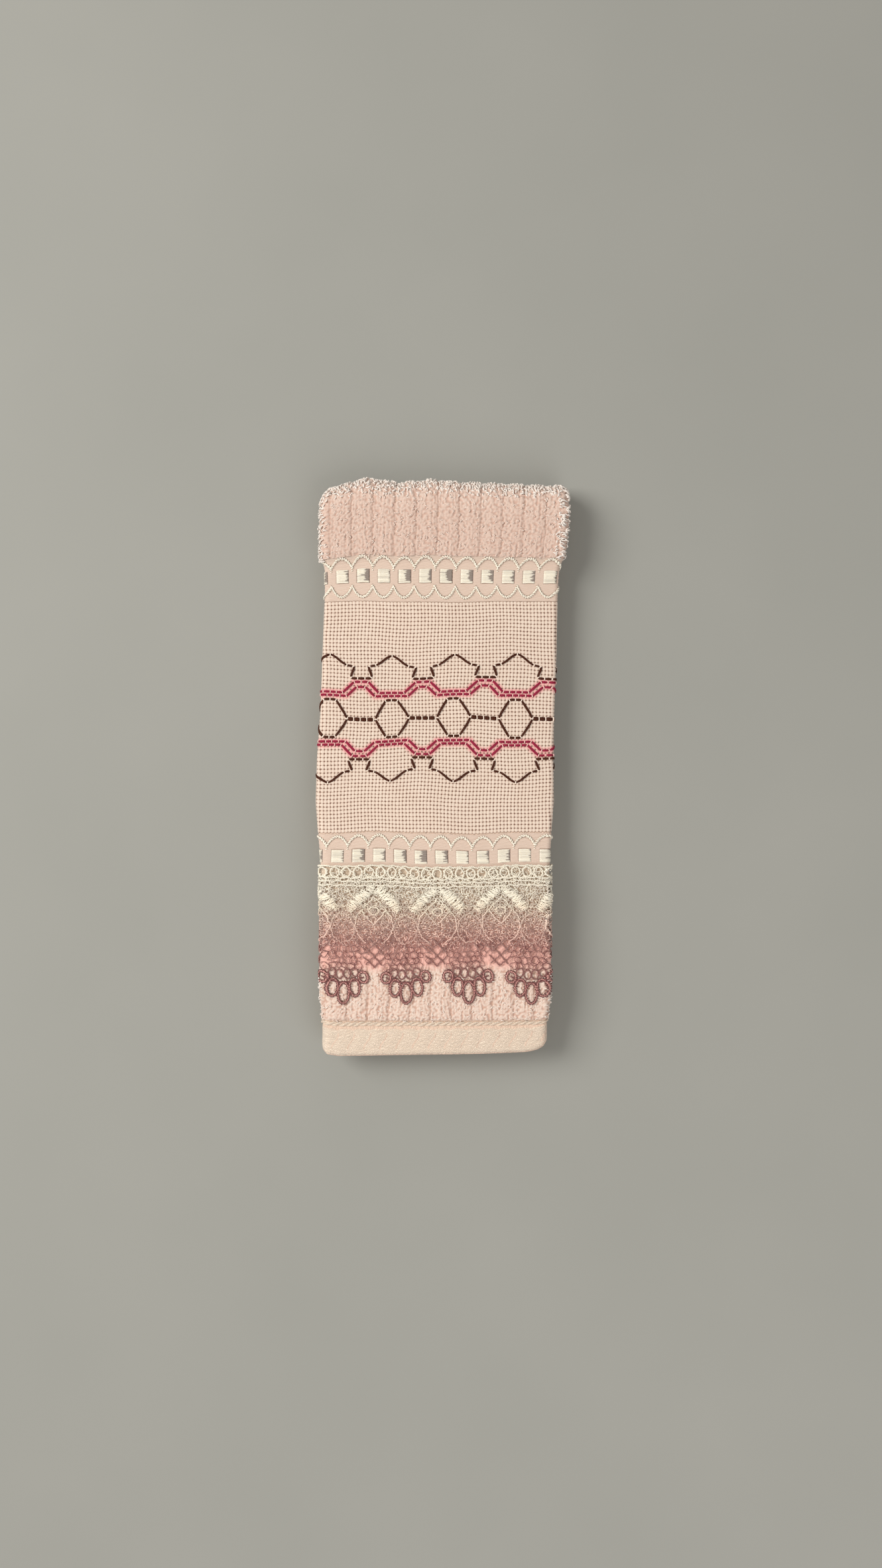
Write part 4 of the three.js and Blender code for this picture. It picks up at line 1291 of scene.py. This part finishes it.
def lace_cotton():
    """Cotton lace thread, shade-dyed along the trim, with a soft gloss on its twist. Some threads take the
    darker mauve: it is the dye of the mauve cords, and on the threads that lie deeper and on the outer
    strands of the edge cords it is also painted shade."""
    material, tree = blank_material("shaded_lace_thread")
    place = object_place(tree)
    noise = noise_of(tree, place, 2.2, 3.0)
    wander = add(tree, "ShaderNodeMath", {0: noise, 1: 10.0, 2: -5.0}, operation="MULTIPLY_ADD")
    low, high = LACE_SHADES[0][0], LACE_SHADES[-1][0]
    shifted = sum_of(tree, "ADD", along_cloth(tree), wander.outputs[0])
    share = sum_of(tree, "DIVIDE", sum_of(tree, "SUBTRACT", shifted, low), high - low)
    ramp = add(tree, "ShaderNodeValToRGB", {"Fac": share})
    while len(ramp.color_ramp.elements) < len(LACE_SHADES):
        ramp.color_ramp.elements.new(0.5)
    for element, (t, _) in zip(ramp.color_ramp.elements, LACE_SHADES):
        element.position = (t - low) / (high - low)
    for element, (_, shade) in zip(ramp.color_ramp.elements, LACE_SHADES):
        element.color = linear(shade)
    colour = colour_between(tree, attribute_of(tree, "dark"), ramp.outputs[0], LACE_SHADOW)
    finish_of(tree, {"Base Color": colour, "Roughness": 0.5, "Sheen Weight": 0.2,
                     "Normal": bump_of(tree, noise_of(tree, place, 0.3, 2.0), 0.4, 0.1)})
    return material


LACE_THREAD = lace_cotton()


# %% Shapes of one repeat
def oval(loop, middle, grow=0.0):
    """A closed loop: half width times cosine across and half height times sine along, tilted."""
    aside, centre_t, half_width, half_height, tilt = loop
    a = 2 * np.pi * np.arange(OVAL_POINTS) / OVAL_POINTS
    across, along = (half_width + grow) * np.cos(a), (half_height + grow) * np.sin(a)
    tilt = math.radians(tilt)
    s = middle + aside + across * math.cos(tilt) - along * math.sin(tilt)
    t = centre_t + across * math.sin(tilt) + along * math.cos(tilt)
    return np.stack([s, t, np.full(OVAL_POINTS, LACE_LIFT)], axis=-1)


def fan_point(middle, radius, degrees):
    """A point of the fan, measured from its centre: radius down, and degrees to the side."""
    a = np.radians(degrees)
    s, t = middle + radius * np.sin(a), FAN_CENTRE - radius * np.cos(a)
    return np.stack([s, t, 0 * a + LACE_LIFT], axis=-1)


def straight(start, end, count=12):
    """A straight cord between two flat points."""
    f = np.linspace(0, 1, count)[:, None]
    line = np.array(start) * (1 - f) + np.array(end) * f
    return np.concatenate([line, np.full((count, 1), LACE_LIFT)], axis=1)


def curls(s, t, facing, size, thread, lift=0.0):
    """Small open loops of thread, one for each s and t. Each is three quarters of a ring that bulges
    towards facing, an angle from the t direction, with every point pushed a little off its place."""
    count = len(s)
    a = np.linspace(-0.25 * np.pi, 1.25 * np.pi, CURL_POINTS)
    size = size * random.uniform(0.8, 1.25, (count, 1))
    x = size * np.cos(a) + random.normal(0, 0.07, (count, CURL_POINTS))
    y = size * 1.15 * np.sin(a) + random.normal(0, 0.07, (count, CURL_POINTS))
    turn = (facing + random.normal(0, 0.35, count))[:, None]
    height = LACE_LIFT + lift + 0.16 * np.sin(2 * a + random.uniform(0, 6, (count, 1)))
    path = np.stack([s[:, None] + x * np.cos(turn) + y * np.sin(turn),
                     t[:, None] - x * np.sin(turn) + y * np.cos(turn), height], axis=-1)
    return sweep(path, thread, THREAD_SIDES)


def darkness(t):
    """How dark the darker threads are: hardly at all under the border, mauve at the scallops."""
    return np.interp(t, [38, 45, 51, 57, 64, 74, 78], [1.0, 0.95, 0.85, 0.65, 0.4, 0.25, 0.05])


def cells(low, high, start, end, pitch, spread):
    """The middles of the cells of a jittered honeycomb."""
    rows = np.arange(start, end, 0.87 * pitch * spread)
    columns = np.arange(low, high, pitch * spread)
    s, t = [grid.astype(float) for grid in np.meshgrid(columns, rows)]
    s[1::2] += pitch * spread / 2
    s, t = s.ravel() + random.normal(0, 0.22, s.size), t.ravel() + random.normal(0, 0.22, t.size)
    return s, t


def ring_mesh(s, t, radius, thread):
    """One closed crinkled ring round each s and t, a little wider than its cell, so that the threads
    of neighbours cross. The radius changes by a random share from point to point."""
    a = 2 * np.pi * np.arange(RING_POINTS) / RING_POINTS
    reach = radius * random.uniform(0.75, 1.25, (len(s), 1)) * random.normal(1, 0.2, (len(s), RING_POINTS))
    height = LACE_LIFT + 0.12 * np.sin(3 * a + random.uniform(0, 6, (len(s), 1)))
    path = np.stack([s[:, None] + reach * np.cos(a), t[:, None] + reach * np.sin(a), height], axis=-1)
    return sweep(path, thread, THREAD_SIDES, closed=True)


def two_tone(s, t, facing, size, thread, share=0.5):
    """Curls in two tones: pale ones, and over them a share of dark ones that are a third larger."""
    over = random.random(s.size) < share
    parts = [(curls(s[~over], t[~over], facing[~over], size, thread, -0.1), 0.0)]
    dark = darkness(t[over]) * random.uniform(0.7, 1.1, over.sum())
    over_curls = curls(s[over], t[over], facing[over], size * 1.3, thread, 0.1)
    parts.append((over_curls, np.repeat(dark, CURL_POINTS * THREAD_SIDES)))
    return parts


def edge_parts(middle, shown):
    """The scallop's edge. Each loop is a braid of rose strands between two dark crinkled threads.
    A row of small loops and one cord join them to the fan."""
    step = FINE_STEP if shown else COARSE_STEP
    parts = []
    for loop in LOOPS:
        braid = plait(oval(loop, middle), 0.8, 1.5, step, thread=0.2, tall=0.06, closed=True, crinkle=0.06)
        parts.append((braid, 0.1))
        if shown:
            for grow in (-0.42, 0.42):
                crimp = plait(oval(loop, middle, grow), 1.05, 1.15, 0.3, strands=1, thread=0.2, tall=0.2,
                              closed=True, crinkle=0.1)
                # The outer threads take the dark mauve: dyed cord, and also painted shade at the loop's
                # edges.
                parts.append((crimp, 0.95))
    for loop in SMALL_LOOPS:
        small = plait(oval(loop, middle), 0.85, 1.2, step, thread=0.18, closed=True, crinkle=0.1)
        parts.append((small, 0.75))
    arc = np.linspace(-23, 23, 30)
    garland_line = fan_point(middle, 22.4 + 0.5 * np.cos(np.radians(arc * 4.7)), arc)
    parts.append((plait(garland_line, 0.9, 1.3, step, thread=0.2, crinkle=0.1), 0.8))
    return parts


def in_opening(aside, t):
    """True inside a lozenge between two fans. aside is the distance from the line between them."""
    return np.any([np.abs(aside - at) + np.abs(t - along) < half for at, along, half in OPENINGS], axis=0)


def fan_rows(middle, shown):
    """Curls in rows round the fan's centre, whole in the disc, and below it arcs that stop half way
    to the next fan. From row to row they are set half a step on, and they thin out towards the
    scallop, where a honeycomb of crinkled rings is left."""
    spread = 1.0 if shown else 2.0
    found = []
    for row, radius in enumerate(np.arange(1.0, FAN_EDGE, FAN_ROW * spread)):
        count = max(4, round(2 * np.pi * radius / (1.45 * spread)))
        a = 2 * np.pi * (np.arange(count) + 0.5 * (row % 2)) / count
        s, t = radius * np.sin(a), -radius * np.cos(a)
        kept = (np.abs(s) < FAN_REACH) & (t < FAN_ROOF)
        kept = kept & ~in_opening(SCALLOP_PITCH / 2 - np.abs(s), FAN_CENTRE + t)
        found.append(np.stack([middle + s[kept], FAN_CENTRE + t[kept], -np.pi - a[kept]]))
    s, t, facing = np.concatenate(found, axis=1)
    s, t = s + random.normal(0, 0.2, s.size), t + random.normal(0, 0.2, s.size)
    kept = random.random(s.size) < 0.1 + 0.9 * smooth_step(t, 42, 55)
    s, t, facing = s[kept], t[kept], facing[kept]
    parts = two_tone(s, t, facing, 0.56 * spread, 0.18 * spread ** 0.5, 0.15)
    s, t = cells(middle - FAN_REACH, middle + FAN_REACH, 39.6, FAN_CENTRE + FAN_ROOF, 2.8, spread)
    aside = np.abs(s - middle)
    kept = (np.hypot(aside, t - FAN_CENTRE) < FAN_EDGE) & (aside < FAN_REACH)
    kept = kept & ~in_opening(SCALLOP_PITCH / 2 - aside, t)
    s, t = s[kept], t[kept]
    dark = darkness(t) * random.uniform(0.75, 1.1, s.size)
    rings = ring_mesh(s, t, 1.45 * spread, 0.17 * spread ** 0.5)
    parts.append((rings, np.repeat(dark, RING_POINTS * THREAD_SIDES)))
    return parts


def fan_parts(middle, shown):
    """The fan with its cords: a pale ring round the disc, spokes, and lozenges between two fans."""
    step = 0.4 if shown else 1.1
    parts = fan_rows(middle, shown)
    rim = oval((0, FAN_CENTRE, DISC + 0.3, DISC + 1.4, 0), middle) + [0, 0, 0.15]
    parts.append((plait(rim, 0.75, 1.3, step, thread=0.15, closed=True, crinkle=0.24), 0.15))
    for degrees in FAN_SPOKES:
        spoke = fan_point(middle, np.linspace(DISC + 1.5, 15.5, 14), degrees + random.normal(0, 1.5, 14))
        parts.append((plait(spoke, 0.6, 1.3, step, thread=0.15, crinkle=0.12), 0.6))
    valley = middle + SCALLOP_PITCH / 2
    for low_across, low_t, high_across, high_t in LOZENGES:
        for side in (-1, 1):
            line = straight((valley + side * low_across, low_t), (valley + side * high_across, high_t))
            parts.append((plait(line, 0.95, 1.3, step, thread=0.2, crinkle=0.14), 0.7))
    for corners in (EYE_DIAMOND, PETAL):
        for side in (-1, 1):
            line = np.array([(valley + side * across, t, LACE_LIFT + 0.2) for across, t in corners])
            parts.append((plait(line, 0.75, 1.2, step, thread=0.17, crinkle=0.2), 0.0))
    for half, dark in ((0.9, 0.5), (2.1, 0.0)):
        ring = oval((SCALLOP_PITCH / 2, 63.4, half, half * 0.75, 0), middle)
        ring = plait(ring, 0.85, 1.3, step, thread=0.2, closed=True, crinkle=0.12)
        parts.append((ring, dark))
    return parts


def leaf_parts(middle, shown):
    """Two satin leaves under each point of the border: ragged stitches side by side across the leaf,
    with loose curls of thread over them. Half a stitch is 2.3 mm times the root of sin(pi u) long."""
    count = 24 if shown else 7
    u = np.linspace(0.02, 0.98, count)
    f = np.linspace(-1, 1, 5)
    parts = []
    for side in (-1, 1):
        start = np.array([middle + SCALLOP_PITCH / 2 + side * 0.7, 73.0])
        end = np.array([middle + SCALLOP_PITCH / 2 + side * 10.6, 63.2])
        run = (end - start) / np.hypot(*(end - start))
        normal = np.array([-run[1], run[0]])
        slant = np.clip(0.3 + random.normal(0, 0.25, (count, 1)), -0.5, 0.9)
        stitch = normal * side * np.sqrt(1 - slant ** 2) + slant * run
        wide = 2.3 * np.sin(np.pi * u) ** 0.5 * random.uniform(0.6, 1.15, count)
        centre = start + (end - start) * u[:, None] + normal * side * (0.7 * np.sin(np.pi * u))[:, None]
        centre = centre + random.normal(0, 0.2, centre.shape)
        flat = centre[:, None, :] + stitch[:, None] * (wide[:, None] * f)[..., None]
        flat = flat + random.normal(0, 0.07, flat.shape)
        height = LACE_LIFT + 0.15 + 0.3 * (1 - f ** 2) + random.normal(0, 0.12, (count, 1))
        parts.append((sweep(np.concatenate([flat, height[..., None]], axis=-1), 0.26, 4), 0.0))
        around = np.repeat(centre, 3 if shown else 1, axis=0)
        around = around + random.uniform(-1.9, 1.9, (len(around), 1)) * normal
        loose = curls(around[:, 0], around[:, 1], random.uniform(0, 6.3, len(around)), 0.5, 0.17, 0.25)
        parts.append((loose, 0.0))
    return parts


def border_parts(low, high, step):
    """The straight top border: a rope, a row of rings, and three crinkled cords below them."""
    parts = []
    s = np.arange(low, high, 0.5)
    for t, wide in ((82.3, 1.05), (77.2, 0.85), (75.7, 0.8), (73.9, 0.8)):
        line = np.stack([s, t + 0.2 * np.sin(s * 1.3 + t), 0 * s + LACE_LIFT + 0.12], axis=-1)
        parts.append((plait(line, wide, 1.5, step, thread=0.26, crinkle=0.1), 0.0))
    for middle in np.arange(math.ceil(low / RING_PITCH), math.floor(high / RING_PITCH)) * RING_PITCH:
        ring = oval((0, 79.6, 1.8, 2.1, 0), middle)
        ring = plait(ring, 1.0, 1.4, step, thread=0.25, closed=True, crinkle=0.13)
        parts.append((ring, 0.0))
    return parts


def net_parts(low, high, cell):
    """Curls in no order over the ground of the lace: between the fans, where they set in slowly, over
    them up to the leaves, and through the straight border."""
    parts = []
    size = 1.05 * cell
    for start, end in ((44.0, 64.0), (64.0, 82.0)):
        s, t = flat_grid(np.arange(low, high, size), np.arange(start, end, size * 0.92))
        s, t = s + random.uniform(-0.4, 0.4, s.size) * size, t + random.uniform(-0.4, 0.4, s.size) * size
        near = np.round((s - SCALLOP_PHASE) / SCALLOP_PITCH) * SCALLOP_PITCH + SCALLOP_PHASE
        in_fan = (np.hypot(s - near, t - FAN_CENTRE) < FAN_EDGE) & (t < FAN_CENTRE + FAN_ROOF)
        in_fan = in_fan & (np.abs(s - near) < FAN_REACH)
        ring_gap = (t > 78) & (random.random(s.size) < 0.5)
        opening = in_opening(SCALLOP_PITCH / 2 - np.abs(s - near), t) | (t > 81.3)
        kept = ~(in_fan | ring_gap | opening) & (random.random(s.size) < smooth_step(t, 43, 53))
        s, t = s[kept], t[kept]
        thread = 0.21 * (size / 1.25) ** 0.5
        parts += two_tone(s, t, random.uniform(0, 6.3, s.size), 0.46 * size, thread, 0.4)
    return parts


# %% Lay the lace
LACE_LEFT = CLOTH_LEFT + 1
LACE_RIGHT = CLOTH_RIGHT - 1
FRONT_REACH = 60.0


def inside_trim(parts):
    """Leaves out parts that would run past the side edges of the cloth."""
    return [p for p in parts if p[0][0][:, 0].min() > LACE_LEFT and p[0][0][:, 0].max() < LACE_RIGHT]


def lay_lace():
    """All repeats: fine on the front and round the side folds, coarser on the hidden flaps."""
    edge, fans, leaves = [], [], []
    first = math.floor((LACE_LEFT - SCALLOP_PHASE) / SCALLOP_PITCH)
    last = math.ceil((LACE_RIGHT - SCALLOP_PHASE) / SCALLOP_PITCH)
    for k in range(first, last + 1):
        middle = SCALLOP_PHASE + k * SCALLOP_PITCH
        shown = abs(middle) < FRONT_REACH + SCALLOP_PITCH / 2
        edge += inside_trim(edge_parts(middle, shown))
        fans += inside_trim(fan_parts(middle, shown))
        leaves += inside_trim(leaf_parts(middle, shown))
    border, net = [], []
    cuts = (LACE_LEFT, -FRONT_REACH, FRONT_REACH, LACE_RIGHT)
    for low, high in zip(cuts[:-1], cuts[1:]):
        shown = high == FRONT_REACH
        border += border_parts(low, high, FINE_STEP if shown else COARSE_STEP)
        net += net_parts(low, high, FINE_CELL if shown else COARSE_CELL)
    return edge, fans, leaves + border, net


def lace_piece(name, parts):
    """One lace mesh from its parts, with their shares of mauve kept on its points as dark."""
    points, faces = join([part for part, _ in parts])
    dark = np.concatenate([np.broadcast_to(share, len(part[0])) for part, share in parts])
    return cloth_piece(name, points, faces, LACE_THREAD, {"dark": dark})


edge, fans, border, net = lay_lace()
lace_edge = lace_piece("lace_scallop_cords", edge)
lace_border = lace_piece("lace_border", border)
lace_ground = lace_piece("lace_ground", fans + net)
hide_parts("lace_trim")

# %% [markdown]
# The lace is open work, so its flat area is what its threads cover and not its whole outline. The
# finer pieces that stand on the ground cloth of the towel are gathered in one list.

towel_pieces = terry_pieces + [even_weave, *crossings, brown_stitches, rose_stitches]
towel_pieces = towel_pieces + band_pieces + hem_pieces
